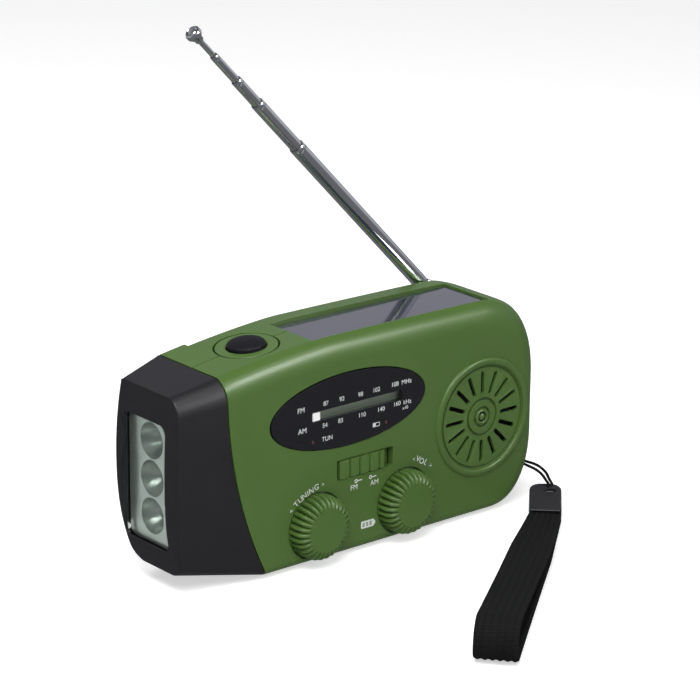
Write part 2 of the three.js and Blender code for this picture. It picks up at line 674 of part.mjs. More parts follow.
piece(
  "gear_plate",
  cut(
    box([-34, 4.6, 17], [22, 5.9, 47]),
    bar(1.5, 0, 10, "y", at(idlerCentre), 16),
    bar(1.4, 0, 10, "y", at(rotorCentre), 16),
    bar(1.8, 0, 10, "y", [-30, 0, 22], 16),
  ),
  BLACK,
);
piece("crank_shaft", bar(3, 9.3, 17.3, "y", at(crankCentre), 24), STEEL);

// The arm is a flat bar with rounded ends and a window that the folded handle lies in.
function crankArm() {
  const end = CRANK.x - CRANK.reach;
  const shape = new THREE.Shape();
  shape.moveTo(end, CRANK.z - CRANK.end);
  shape.lineTo(CRANK.x, CRANK.z - CRANK.end);
  shape.absarc(CRANK.x, CRANK.z, CRANK.end, -Math.PI / 2, Math.PI / 2);
  shape.lineTo(end, CRANK.z + CRANK.end);
  shape.absarc(end, CRANK.z, CRANK.end, Math.PI / 2, Math.PI * 1.5);
  return cut(
    plateXZ(shape, CRANK.y0, CRANK.y1, 10),
    box([end - 4, 10, CRANK.z - 4.2], [CRANK.x - 5.6, 30, CRANK.z + 4.2]),
    bar(1.35, -10, 10, "z", [end, CRANK.hingeY - 1.2, CRANK.z], 16),
  );
}
piece("crank_arm", crankArm(), BLACK);

// The handle's pin hinges in the arm's end, and the grip turns on it.
const hinge = [CRANK.x - CRANK.reach, CRANK.hingeY - 1.2, CRANK.z];
piece(
  "crank_pin",
  join(
    bar(1.15, -6, 6, "z", hinge, 16),
    bar(1.9, -3.9, 3.9, "z", hinge, 20),
    bar(1.2, 0, 23.4, "x", hinge, 16),
    bar(2, 22.4, 23.4, "x", hinge, 16),
  ),
  STEEL,
);
piece("crank_handle", sleeve(3.2, 1.4, 2.6, 22.1, "x", hinge, 24), BLACK);

// ---------- antenna ----------
const mast = new THREE.Group(); // +Z runs along the antenna from its swivel
mast.position.set(ANTENNA.x, ANTENNA.y, ANTENNA.z);
mast.rotation.y = -ANTENNA.lean;
root.add(mast);

piece(
  "antenna_knuckle",
  join(
    bar(2, -5.6, -1.5, "y", [0, 0, 0], 20),
    bar(2.4, -2.2, 2.2, "y", [0, 0, 0], 20),
    box([-2.4, -2.2, 0], [2.4, 2.2, 3.6]),
    box([-2.4, -1.9, 3], [-1.25, 1.9, 7.4]),
    box([1.25, -1.9, 3], [2.4, 1.9, 7.4]),
  ).subtract(bar(0.95, -6, 6, "x", [0, 0, 5.6], 12)),
  CHROME,
  mast,
);
piece("antenna_pin", bar(0.7, -2.6, 2.6, "x", [0, 0, 5.6], 12), STEEL, mast);

function antennaTube({ outer, bore, from, to }, sides = 12) {
  if (!bore) return bar(outer, from, to, "z", [0, 0, 0], sides);
  return turned(
    [[bore, from], [outer, from], [outer, to - 0.5], [outer - 0.12, to], [bore, to], [bore, from]],
    "z", [0, 0, 0], sides,
  );
}
TUBES.forEach((tube, i) => {
  let made = antennaTube(tube);
  if (i === 0) {
    // a solid foot closes the tube and narrows to the tongue between the knuckle's ears
    const foot = bar(tube.outer, 8.6, 9.8, "z", [0, 0, 0], 16);
    const tongue = join(box([-0.95, -1.5, 5.6], [0.95, 1.5, 9]), bar(1.5, -0.95, 0.95, "x", [0, 0, 5.6], 16));
    made = join(made, foot, tongue).subtract(bar(0.95, -6, 6, "x", [0, 0, 5.6], 12));
  }
  if (i === TUBES.length - 1)
    made = join(
      made,
      turned(
        [[0, TIP.from - 0.4], [TIP.neck, TIP.from - 0.4], [TIP.neck, TIP.from + 0.6],
         [TIP.rim, TIP.to - 1.4], [TIP.rim, TIP.to - 0.5], [TIP.rim - 0.5, TIP.to], [0, TIP.to]],
        "z", [0, 0, 0], 20,
      ),
    );
  piece("antenna_section_" + (i + 1), made, CHROME, mast);
});

// ---------- sockets ----------
piece(
  "usb_port",
  join(
    cut(box([-38.1, 5, 9.3], [-24.5, 14.3, 15.6]), box([-37.7, 6, 9.7], [-24.9, 20, 15.2])),
    box([-36.9, 5.2, 11.5], [-25.7, 13.6, 13.3]),
  ),
  STEEL,
);
piece(
  "charge_port",
  cut(box([-20.9, 8.6, 10.8], [-13.1, 14.3, 14]), box([-20.4, 10, 11.3], [-13.6, 20, 13.5])),
  STEEL,
);
piece("socket_cover", box([-39.7, 15.2, 7.4], [-11.3, 16.6, 17.6]), RUBBER);

// ---------- wrist strap ----------
const CORD_ROUTE = [
  [61.4, -22, 6.8], [63, -19.1, 7.1], [64.4, -16.2, 7.9], [65.2, -12.9, 8.5], [65.3, -10.1, 8.7],
  [64.8, -7.6, 8.8], [63.6, -4, 9.1], [62.2, -1, 9.4], [60.5, 1.1, 9.7], [58.8, 2.4, 10],
  [57, 2.7, 10.2], [55.2, 3.3, 10.4], [54.3, 5.2, 10.3], [55.2, 7.1, 10], [57.4, 7.5, 9.6],
  [60.2, 6.9, 9.2], [62.2, 4.4, 8.8], [63.6, 0.8, 8.5], [64.2, -3.6, 8.3], [64, -8.3, 8.1],
  [64.3, -11.2, 7.8], [64, -13.9, 7.5], [63.2, -16.3, 7.2], [62.3, -18.4, 6.8], [61.2, -20.5, 6.7],
  [60.3, -21.8, 6.7],
];

function strapCord() {
  const path = new THREE.CatmullRomCurve3(CORD_ROUTE.map((spot) => new THREE.Vector3(...spot)));
  const section = new THREE.Shape();
  for (let i = 0; i < 8; i++) {
    const turn = (i / 8) * Math.PI * 2;
    const [x, y] = [CORD_RADIUS * Math.cos(turn), CORD_RADIUS * Math.sin(turn)];
    if (i) section.lineTo(x, y);
    else section.moveTo(x, y);
  }
  return new THREE.ExtrudeGeometry(section, { steps: 40, bevelEnabled: false, extrudePath: path });
}
piece("strap_cord", strapCord(), WEB);

function strapClip() {
  const [half, side, round] = [CLIP.length / 2, CLIP.width / 2, CLIP.round];
  const shape = new THREE.Shape();
  shape.moveTo(half, -side);
  shape.lineTo(half, side);
  shape.lineTo(round - half, side);
  shape.absarc(round - half, side - round, round, Math.PI / 2, Math.PI);
  shape.absarc(round - half, round - side, round, Math.PI, Math.PI * 1.5);
  const made = new THREE.ExtrudeGeometry(shape, { depth: CLIP.thick, bevelEnabled: false, curveSegments: 5 });
  made.translate(0, 0, -CLIP.thick / 2).rotateY(CLIP.tilt).rotateZ(CLIP.heading);
  return made.translate(CLIP.x, CLIP.y, CLIP.z);
}
piece("strap_clip", strapClip(), BLACK);

// The webbing runs out along the floor, turns over at its far end and comes back above itself.
function strapWebbing() {
  const radius = WEBBING.rise / 2;
  const far = WEBBING.length - radius;
  const [out, back] = [[], []];
  for (let i = 0; i <= 8; i++) {
    const share = i / 8;
    out.push([share * far, WEBBING.lower * (1 - share) ** 2]);
    back.unshift([share * far, WEBBING.upper + share ** 1.2 * (WEBBING.rise - WEBBING.upper)]);
  }
  const fold = [];
  for (let i = 1; i < 10; i++) {
    const turn = -Math.PI / 2 + (i / 10) * Math.PI;
    fold.push([far + radius * Math.cos(turn), radius + radius * Math.sin(turn)]);
  }
  const middle = [...out, ...fold, ...back];
  const side = (sign) =>
    middle.map(([x, z], i) => {
      const [px, pz] = middle[Math.max(0, i - 1)];
      const [nx, nz] = middle[Math.min(middle.length - 1, i + 1)];
      const half = (sign * WEBBING.thick) / 2 / Math.hypot(nx - px, nz - pz);
      return new THREE.Vector2(x + (nz - pz) * half, z - (nx - px) * half);
    });
  const shape = new THREE.Shape([...side(1), ...side(-1).reverse()]);
  const made = new THREE.ExtrudeGeometry(shape, { depth: WEBBING.width, bevelEnabled: false });
  made.rotateX(Math.PI / 2).translate(0, WEBBING.width / 2, WEBBING.thick / 2 + 0.1);
  const reach = CLIP.length / 2 + WEBBING.gap;
  return made
    .rotateZ(WEBBING.heading)
    .translate(CLIP.x + reach * Math.cos(CLIP.heading), CLIP.y + reach * Math.sin(CLIP.heading), 0);
}
piece("strap_webbing", strapWebbing(), WEB);

export default root;
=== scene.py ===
import math

import bmesh
import bpy
from mathutils import Matrix, Vector


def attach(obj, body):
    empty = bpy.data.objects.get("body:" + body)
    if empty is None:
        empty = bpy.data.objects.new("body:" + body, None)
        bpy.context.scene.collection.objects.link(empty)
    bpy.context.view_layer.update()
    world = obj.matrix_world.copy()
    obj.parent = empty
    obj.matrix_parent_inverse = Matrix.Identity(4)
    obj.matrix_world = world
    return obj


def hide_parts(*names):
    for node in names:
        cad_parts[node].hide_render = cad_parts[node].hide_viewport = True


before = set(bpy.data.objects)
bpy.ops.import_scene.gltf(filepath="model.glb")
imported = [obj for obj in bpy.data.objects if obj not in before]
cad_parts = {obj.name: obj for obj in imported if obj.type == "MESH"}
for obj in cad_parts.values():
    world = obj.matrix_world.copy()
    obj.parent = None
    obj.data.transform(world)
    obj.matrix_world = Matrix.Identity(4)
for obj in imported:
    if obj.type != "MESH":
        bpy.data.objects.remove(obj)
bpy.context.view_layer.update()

# Shapes are written in millimetres from the middle of the radio's body, as the design is.
MIDDLE = Vector((1.3, -1.45, 0))
PLACE = Matrix.Scale(0.001, 4) @ Matrix.Translation(MIDDLE)


# ---------- camera, floor and light ----------
def add_camera():
    turn, tilt, roll = 0.695815, 0.314775, 0.008623
    target, distance = PLACE @ Vector((4.026, 0, 53.08)), 0.824514
    right = Vector((math.cos(turn), -math.sin(turn), 0))
    up = Vector((math.sin(turn) * math.sin(tilt), math.cos(turn) * math.sin(tilt), math.cos(tilt)))
    ahead = Vector((math.sin(turn) * math.cos(tilt), math.cos(turn) * math.cos(tilt), -math.sin(tilt)))
    side = right * math.cos(roll) + up * math.sin(roll)
    top = up * math.cos(roll) - right * math.sin(roll)
    data = bpy.data.cameras.new("camera")
    data.lens, data.sensor_width, data.clip_start = 154.286, 36, 0.01
    camera = bpy.data.objects.new("camera", data)
    camera.matrix_world = (Matrix.Translation(target - ahead * distance)
                           @ Matrix((side, top, -ahead)).transposed().to_4x4())
    bpy.context.scene.collection.objects.link(camera)
    bpy.context.scene.camera = camera


def add_light(name, towards, distance, size, power, diffuse=True, glossy=True):
    data = bpy.data.lights.new(name, "AREA")
    data.shape, data.size, data.energy = "DISK", size, power
    light = bpy.data.objects.new(name, data)
    way = Vector(towards).normalized()
    light.location = Vector((0, 0, 0.04)) + way * distance
    light.rotation_euler = way.to_track_quat("Z", "Y").to_euler()
    light.visible_diffuse, light.visible_glossy = diffuse, glossy
    bpy.context.scene.collection.objects.link(light)


def node(tree, kind, **values):
    made = tree.nodes.new(kind)
    for key, value in values.items():
        setattr(made, key, value)
    return made


def add_surroundings():
    world = bpy.data.worlds.new("studio")
    bpy.context.scene.world = world
    world.use_nodes = True
    tree = world.node_tree
    tree.nodes.clear()
    way = node(tree, "ShaderNodeTexCoord")
    split = node(tree, "ShaderNodeSeparateXYZ")
    ramp = node(tree, "ShaderNodeValToRGB")
    ramp.color_ramp.elements[0].position, ramp.color_ramp.elements[0].color = 0.49, (0.14, 0.14, 0.15, 1)
    ramp.color_ramp.elements[1].position, ramp.color_ramp.elements[1].color = 0.55, (0.42, 0.43, 0.48, 1)
    for position, level in ((0.7, 0.42), (0.8, 0.2), (0.88, 0.08), (1.0, 0.08)):
        ramp.color_ramp.elements.new(position).color = (level, level, level * 1.05, 1)
    span = node(tree, "ShaderNodeMapRange")
    span.inputs["From Min"].default_value, span.inputs["From Max"].default_value = -1, 1
    mirrored = node(tree, "ShaderNodeBackground")
    ambient = node(tree, "ShaderNodeBackground")
    ambient.inputs["Strength"].default_value = 0.24
    backdrop = node(tree, "ShaderNodeBackground")
    backdrop.inputs["Strength"].default_value = 1.1
    seen = node(tree, "ShaderNodeLightPath")
    indirect = node(tree, "ShaderNodeMixShader")
    mix, out = node(tree, "ShaderNodeMixShader"), node(tree, "ShaderNodeOutputWorld")
    for a, b in (
        (way.outputs["Generated"], split.inputs[0]), (split.outputs["Z"], span.inputs["Value"]),
        (span.outputs[0], ramp.inputs[0]), (ramp.outputs[0], mirrored.inputs[0]),
        (seen.outputs["Is Diffuse Ray"], indirect.inputs[0]), (mirrored.outputs[0], indirect.inputs[1]),
        (ambient.outputs[0], indirect.inputs[2]),
        (seen.outputs["Is Camera Ray"], mix.inputs[0]), (indirect.outputs[0], mix.inputs[1]),
        (backdrop.outputs[0], mix.inputs[2]), (mix.outputs[0], out.inputs[0]),
    ):
        tree.links.new(a, b)

    mesh = bpy.data.meshes.new("floor")
    mesh.from_pydata([(-4, -4, 0), (4, -4, 0), (4, 4, 0), (-4, 4, 0)], [], [(0, 1, 2, 3)])
    floor = bpy.data.objects.new("floor", mesh)
    floor.visible_glossy = False
    paper = bpy.data.materials.new("floor")
    paper.use_nodes = True
    shader = paper.node_tree.nodes["Principled BSDF"]
    shader.inputs["Base Color"].default_value = (0.8, 0.8, 0.8, 1)
    shader.inputs["Roughness"].default_value = 0.9
    shader.inputs["Specular IOR Level"].default_value = 0
    shader.inputs["Emission Color"].default_value = (1, 1, 1, 1)
    seen = node(paper.node_tree, "ShaderNodeLightPath")
    glow = node(paper.node_tree, "ShaderNodeMapRange")
    glow.inputs["To Min"].default_value, glow.inputs["To Max"].default_value = 0.12, 0.55
    paper.node_tree.links.new(seen.outputs["Is Camera Ray"], glow.inputs["Value"])
    paper.node_tree.links.new(glow.outputs[0], shader.inputs["Emission Strength"])
    mesh.materials.append(paper)
    bpy.context.scene.collection.objects.link(floor)
    add_light("key", (-0.5, -0.55, 1.0), 0.62, 0.4, 3.4)
    add_light("overhead", (-0.2, 0.3, 1.0), 0.9, 0.6, 3.0, glossy=False)
    add_light("strip", (0.227, -0.4, 0.275), 0.542, 0.17, 1.6, diffuse=False)
    add_light("front_fill", (-0.1, -1.0, 0.6), 1.0, 0.5, 1.9, glossy=False)
    bpy.context.scene.view_settings.view_transform = "Standard"


add_camera()
add_surroundings()


# ---------- materials ----------
def finish_material(
    name, colour, roughness, metallic=0.0, coat=0.0, specular=0.5, cloud=(60, 0.06), grain=(1500, 0.08),
    rough_span=0.06, edge=0.25, transmission=0.0, ior=1.5,
):
    """Moulded or plated surface: cloudy colour and gloss, fine grain in relief, edges rubbed paler."""
    material = bpy.data.materials.new(name)
    material.use_nodes = True
    tree = material.node_tree
    shader = tree.nodes["Principled BSDF"]
    place = node(tree, "ShaderNodeTexCoord")
    wide = node(tree, "ShaderNodeTexNoise")
    wide.inputs["Scale"].default_value, wide.inputs["Detail"].default_value = cloud[0], 4
    tone = node(tree, "ShaderNodeMix", data_type="RGBA")
    tone.inputs[6].default_value = (*[c * (1 - cloud[1]) for c in colour], 1)
    tone.inputs[7].default_value = (*[min(1, c * (1 + cloud[1])) for c in colour], 1)
    shape = node(tree, "ShaderNodeNewGeometry")
    rim = node(tree, "ShaderNodeMapRange")
    rim.inputs["From Min"].default_value, rim.inputs["From Max"].default_value = 0.53, 0.62
    rim.inputs["To Max"].default_value = edge
    worn = node(tree, "ShaderNodeMix", data_type="RGBA")
    worn.inputs[7].default_value = (*[min(1, c * 1.5 + 0.02) for c in colour], 1)
    gloss = node(tree, "ShaderNodeMapRange")
    gloss.inputs["To Min"].default_value = max(0.02, roughness - rough_span)
    gloss.inputs["To Max"].default_value = roughness + rough_span
    fine = node(tree, "ShaderNodeTexNoise")
    fine.inputs["Scale"].default_value, fine.inputs["Detail"].default_value = grain[0], 3
    relief = node(tree, "ShaderNodeBump")
    relief.inputs["Strength"].default_value, relief.inputs["Distance"].default_value = grain[1], 0.0002
    for a, b in (
        (place.outputs["Object"], wide.inputs["Vector"]), (place.outputs["Object"], fine.inputs["Vector"]),
        (wide.outputs[0], tone.inputs[0]), (tone.outputs[2], worn.inputs[6]),
        (shape.outputs["Pointiness"], rim.inputs["Value"]), (rim.outputs[0], worn.inputs[0]),
        (worn.outputs[2], shader.inputs["Base Color"]), (wide.outputs[0], gloss.inputs["Value"]),
        (gloss.outputs[0], shader.inputs["Roughness"]), (fine.outputs[0], relief.inputs["Height"]),
        (relief.outputs[0], shader.inputs["Normal"]),
    ):
        tree.links.new(a, b)
    shader.inputs["Metallic"].default_value = metallic
    shader.inputs["Specular IOR Level"].default_value = specular
    shader.inputs["Coat Weight"].default_value = coat
    shader.inputs["Coat Roughness"].default_value = 0.04
    shader.inputs["Transmission Weight"].default_value = transmission
    shader.inputs["IOR"].default_value = ior
    return material


def solar_material():
    """Dark blue cells under clear resin, with thin silver lines across them."""
    material = finish_material(
        "solar_cell", (0.02, 0.022, 0.045), 0.09, coat=0.8, specular=0.8, cloud=(90, 0.25), grain=(300, 0.02),
        edge=0,
    )
    tree = material.node_tree
    shader = tree.nodes["Principled BSDF"]
    base = shader.inputs["Base Color"].links[0].from_socket
    place = node(tree, "ShaderNodeTexCoord")
    lines = node(tree, "ShaderNodeTexBrick")
    lines.offset, lines.squash = 0, 1
    sizes = {"Scale": 1.0, "Brick Width": 0.0078, "Row Height": 0.0019, "Mortar Size": 0.00008}
    for key, value in sizes.items():
        lines.inputs[key].default_value = value
    mix = node(tree, "ShaderNodeMix", data_type="RGBA")
    mix.inputs[7].default_value = (0.06, 0.064, 0.075, 1)
    tree.links.new(place.outputs["Object"], lines.inputs["Vector"])
    tree.links.new(lines.outputs["Fac"], mix.inputs[0])
    tree.links.new(base, mix.inputs[6])
    tree.links.new(mix.outputs[2], shader.inputs["Base Color"])
    return material


def webbing_material(colour):
    """Black woven strap with slanting threads."""
    material = finish_material("webbing", colour, 0.85, specular=0.1, cloud=(200, 0.3), grain=(2500, 0.35), edge=0)
    tree = material.node_tree
    shader = tree.nodes["Principled BSDF"]
    weave = node(tree, "ShaderNodeTexWave", bands_direction="DIAGONAL")
    weave.inputs["Scale"].default_value = 420
    weave.inputs["Distortion"].default_value = 1.5
    place = node(tree, "ShaderNodeTexCoord")
    relief = node(tree, "ShaderNodeBump")
    relief.inputs["Strength"].default_value, relief.inputs["Distance"].default_value = 0.5, 0.0002
    grain = shader.inputs["Normal"].links[0].from_socket
    tree.links.new(place.outputs["Object"], weave.inputs["Vector"])
    tree.links.new(weave.outputs[0], relief.inputs["Height"])
    tree.links.new(grain, relief.inputs["Normal"])
    tree.links.new(relief.outputs[0], shader.inputs["Normal"])
    return material


GREEN = finish_material("green_plastic", (0.064, 0.126, 0.026), 0.34, specular=0.45, grain=(2200, 0.10))
BLACK = finish_material("black_plastic", (0.013, 0.0125, 0.015), 0.38, specular=0.45, grain=(2200, 0.12))
BUTTON_BLACK = finish_material("button_black", (0.006, 0.006, 0.009), 0.55, specular=0.22, grain=(1700, 0.8))
WINDOW = finish_material("dial_gloss", (0.006, 0.006, 0.008), 0.1, coat=0.6, grain=(200, 0.01), edge=0)
SOLAR = solar_material()
CLEAR = finish_material(
    "clear_plastic", (0.93, 0.96, 0.94), 0.04, cloud=(40, 0.02), grain=(150, 0.01), rough_span=0.02, edge=0,
    transmission=1.0, ior=1.2,
)
CHROME = finish_material(
    "chrome", (0.82, 0.83, 0.85), 0.09, metallic=1, cloud=(120, 0.03), grain=(900, 0.015), rough_span=0.04,
    edge=0,
)
STEEL = finish_material("steel", (0.5, 0.5, 0.51), 0.3, metallic=1, grain=(1400, 0.05))
PRINT = finish_material("white_print", (0.6, 0.63, 0.62), 0.5, cloud=(900, 0.12), grain=(3000, 0.1), edge=0)
WHITE = finish_material("white_plastic", (0.8, 0.8, 0.78), 0.35, grain=(1200, 0.04))
SCALE_GREY = finish_material("scale_grey", (0.26, 0.32, 0.25), 0.4, grain=(1500, 0.05), edge=0)
REFLECTOR = finish_material(
    "reflector", (0.37, 0.42, 0.38), 0.3, metallic=0.7, cloud=(120, 0.1), grain=(900, 0.03),
)
BOARD = finish_material("circuit_board", (0.03, 0.12, 0.05), 0.35, coat=0.3)
PAPER = finish_material("speaker_paper", (0.02, 0.02, 0.022), 0.9, grain=(1800, 0.6), edge=0)
WRAP = finish_material("battery_wrap", (0.05, 0.18, 0.42), 0.3)
FERRITE = finish_material("ferrite", (0.03, 0.03, 0.032), 0.7, grain=(1500, 0.3))
GEARS = finish_material("gear_plastic", (0.72, 0.69, 0.6), 0.4)
RUBBER = finish_material("rubber", (0.015, 0.015, 0.016), 0.75, grain=(1600, 0.25))
WEBBING = webbing_material((0.0075, 0.0075, 0.008))
DARK_LED = finish_material("dark_led", (0.09, 0.03, 0.03), 0.2, coat=0.5, edge=0)


# ---------- solids ----------
def new_solid(name, vertices, faces):
    mesh = bpy.data.meshes.new(name)
    mesh.from_pydata([tuple(v) for v in vertices], [], faces)
    work = bmesh.new()
    work.from_mesh(mesh)
    bmesh.ops.remove_doubles(work, verts=work.verts, dist=1e-4)
    bmesh.ops.recalc_face_normals(work, faces=work.faces)
    work.to_mesh(mesh)
    work.free()
    solid = bpy.data.objects.new(name, mesh)
    bpy.context.scene.collection.objects.link(solid)
    return solid


def skin(name, rings, loop=False):
    """A skin over rings with the same number of points, closed by a face at each end or into a loop."""
    around, count = len(rings[0]), len(rings)
    vertices = [v for ring in rings for v in ring]
    faces = [
        (r * around + i, r * around + (i + 1) % around, (r + 1) % count * around + (i + 1) % around,
         (r + 1) % count * around + i)
        for r in range(count if loop else count - 1)
        for i in range(around)
    ]
    if not loop:
        faces += [tuple(range(around)), tuple((count - 1) * around + i for i in reversed(range(around)))]
    return new_solid(name, vertices, faces)


AXES = {"x": (1, 2, 0), "y": (2, 0, 1), "z": (0, 1, 2)}  # where the two cross directions and the axis go


def on_axis(axis, u, v, along, centre=(0, 0, 0)):
    spot = [0, 0, 0]
    for index, value in zip(AXES[axis], (u, v, along)):
        spot[index] = value
    return Vector(spot) + Vector(centre)


def lathe(name, profile, axis, centre=(0, 0, 0), sides=48, loop=False):
    """A profile of (radius, along) turned about an axis; it starts and ends near the axis or is a loop."""
    turns = [k * math.tau / sides for k in range(sides)]
    rings = [[on_axis(axis, radius * math.cos(t), radius * math.sin(t), along, centre) for t in turns]
             for radius, along in profile]
    return skin(name, rings, loop)


def bar(name, radius, start, end, axis, centre=(0, 0, 0), sides=32):
    return lathe(name, [(0.001, start), (radius, start), (radius, end), (0.001, end)], axis, centre, sides)


def washer(name, inner, outer, start, end, axis, centre=(0, 0, 0), sides=48):
    loop = [(inner, start), (outer, start), (outer, end), (inner, end)]
    return lathe(name, loop, axis, centre, sides, loop=True)


def prism(name, outline, axis, start, end):
    """An outline of (u, v) pushed along an axis; u and v are the other two axes in x, y, z order."""
    order = {
        "x": lambda u, v, a: (a, u, v),
        "y": lambda u, v, a: (u, a, v),
        "z": lambda u, v, a: (u, v, a),
    }[axis]
    return skin(name, [[order(u, v, a) for u, v in outline] for a in (start, end)])


def cuboid(name, low, high):
    (x0, y0, z0), (x1, y1, z1) = low, high
    return prism(name, [(x0, y0), (x1, y0), (x1, y1), (x0, y1)], "z", z0, z1)


def rounded(cu, cv, half_u, half_v, radius, steps=8):
    spots = []
    for k, (su, sv) in enumerate(((1, 1), (-1, 1), (-1, -1), (1, -1))):
        for i in range(steps + 1):
            turn = (k + i / steps) * math.pi / 2
            spots.append((cu + su * (half_u - radius) + radius * math.cos(turn),
                          cv + sv * (half_v - radius) + radius * math.sin(turn)))
    return spots


def ellipse(cu, cv, a, b, steps=96):
    turns = [k * math.tau / steps for k in range(steps)]
    return [(cu + a * math.cos(t), cv + b * math.sin(t)) for t in turns]


def arc(cu, cv, a, b, start, sweep, steps):
    """The points between the two ends of an elliptical arc, without the ends."""
    turns = [start + k / steps * sweep for k in range(1, steps)]
    return [(cu + a * math.cos(t), cv + b * math.sin(t)) for t in turns]


def bake(solid):
    """Applies the solid's modifiers to its mesh."""
    graph = bpy.context.evaluated_depsgraph_get()
    made = bpy.data.meshes.new_from_object(solid.evaluated_get(graph))
    solid.modifiers.clear()
    old, solid.data = solid.data, made
    bpy.data.meshes.remove(old)
    return solid


def combine(solid, operation, *others):
    for other in others:
        step = solid.modifiers.new("boolean", "BOOLEAN")
        step.operation, step.solver, step.object = operation, "EXACT", other
        bake(solid)
        bpy.data.objects.remove(other)
    return solid


def merge(name, *solids):
    """Several solids that don't touch, as one mesh."""
    work = bmesh.new()
    for solid in solids:
        work.from_mesh(solid.data)
        bpy.data.objects.remove(solid)
    mesh = bpy.data.meshes.new(name)
    work.to_mesh(mesh)
    work.free()
    made = bpy.data.objects.new(name, mesh)
    bpy.context.scene.collection.objects.link(made)
    return made


def show(solid, body, material, slot, *stands_for, bevel=0.0, segments=2, crease=32, turned=None):
    """Softens a solid's edges, puts it in place in metres and hands it to a CAD body."""
    if bevel:
        edge = solid.modifiers.new("bevel", "BEVEL")
        edge.width, edge.segments = bevel, segments
        edge.limit_method, edge.angle_limit = "ANGLE", math.radians(crease)
        edge.use_clamp_overlap = False
        bake(solid)
    solid.data.transform(PLACE @ (turned or Matrix()))
    solid.data.shade_smooth()
    solid.data.set_sharp_from_angle(angle=math.radians(crease))
    weigh = solid.modifiers.new("normals", "WEIGHTED_NORMAL")
    weigh.keep_sharp = True
    solid.data.materials.clear()
    solid.data.materials.append(material)
    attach(solid, body)
    if stands_for:
        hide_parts(*stands_for)
    return solid


# ---------- wrist strap ----------
CORD_ROUTE = [
    (61.4, -22, 6.8), (63, -19.1, 7.1), (64.4, -16.2, 7.9), (65.2, -12.9, 8.5), (65.3, -10.1, 8.7),
    (64.8, -7.6, 8.8), (63.6, -4, 9.1), (62.2, -1, 9.4), (60.5, 1.1, 9.7), (58.8, 2.4, 10),
    (57, 2.7, 10.2), (55.2, 3.3, 10.4), (54.3, 5.2, 10.3), (55.2, 7.1, 10), (57.4, 7.5, 9.6),
    (60.2, 6.9, 9.2), (62.2, 4.4, 8.8), (63.6, 0.8, 8.5), (64.2, -3.6, 8.3), (64, -8.3, 8.1),
    (64.3, -11.2, 7.8), (64, -13.9, 7.5), (63.2, -16.3, 7.2), (62.3, -18.4, 6.8), (61.2, -20.5, 6.7),
    (60.3, -21.8, 6.7),
]
CORD_RADIUS = 0.4
CLIP = dict(at=(56.45, -24.5, 3.3), length=16.5, width=9.2, thick=3.6, round=3.6, heading=-2.327, tilt=0.12)
BAND = dict(
    width=11.6, thick=1.1, length=101, rise=11.4, upper=2.4, lower=0.9, gap=1, heading=-2.449, ribs=6,
    fan=0.012, fan_top=0.004,
)


def smooth_line(spots, steps):
    """Points along a Catmull-Rom curve through the spots."""
    ends = [spots[0] * 2 - spots[1], *spots, spots[-1] * 2 - spots[-2]]
    line = []
    for a, b, c, d in zip(ends, ends[1:], ends[2:], ends[3:]):
        for k in range(steps):
            t = k / steps
            line.append(((b * 2) + (c - a) * t + (a * 2 - b * 5 + c * 4 - d) * t * t
                         + (b * 3 - a - c * 3 + d) * t ** 3) / 2)
    return line + [spots[-1]]


def strap_cord():
    line = smooth_line([PLACE @ Vector(spot) for spot in CORD_ROUTE], 6)
    curve = bpy.data.curves.new("strap_cord_line", "CURVE")
    curve.dimensions, curve.use_fill_caps = "3D", True
    curve.bevel_depth, curve.bevel_resolution = CORD_RADIUS / 1000, 4
    spline = curve.splines.new("POLY")
    spline.points.add(len(line) - 1)
    for point, spot in zip(spline.points, line):
        point.co = (*spot, 1)
    cord = bpy.data.objects.new("strap_cord_line", curve)
    bpy.context.scene.collection.objects.link(cord)
    curve.materials.append(WEBBING)
    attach(cord, "housing")
    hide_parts("strap_cord")
    length = sum((b - a).length for a, b in zip(line, line[1:]))
    return cord, line[0], length


def strap_clip():
    half, side, round_end = CLIP["length"] / 2, CLIP["width"] / 2, CLIP["round"]
    outline = [(half, -side), (half, side)]
    for k in range(11):
        turn = math.pi / 2 + k / 10 * math.pi
        centre = side - round_end if k <= 5 else round_end - side
        outline.append((round_end - half + round_end * math.cos(turn), centre + round_end * math.sin(turn)))
    body = prism("clip_body", outline, "z", -CLIP["thick"] / 2, CLIP["thick"] / 2)
    mouth = cuboid("clip_mouth", (half - 1.4, -side + 0.75, -1.15), (half + 1, side - 0.75, 1.2))
    slot = cuboid("clip_slot", (-half + 3.1, -0.1, 0.6), (-half + 5.3, 2.7, 5))
    combine(body, "DIFFERENCE", mouth, slot)
    turned = (Matrix.Translation(CLIP["at"]) @ Matrix.Rotation(CLIP["heading"], 4, "Z")
              @ Matrix.Rotation(CLIP["tilt"], 4, "Y"))
    return show(body, "housing", BLACK, "black_plastic", "strap_clip", bevel=0.45, segments=3, turned=turned)


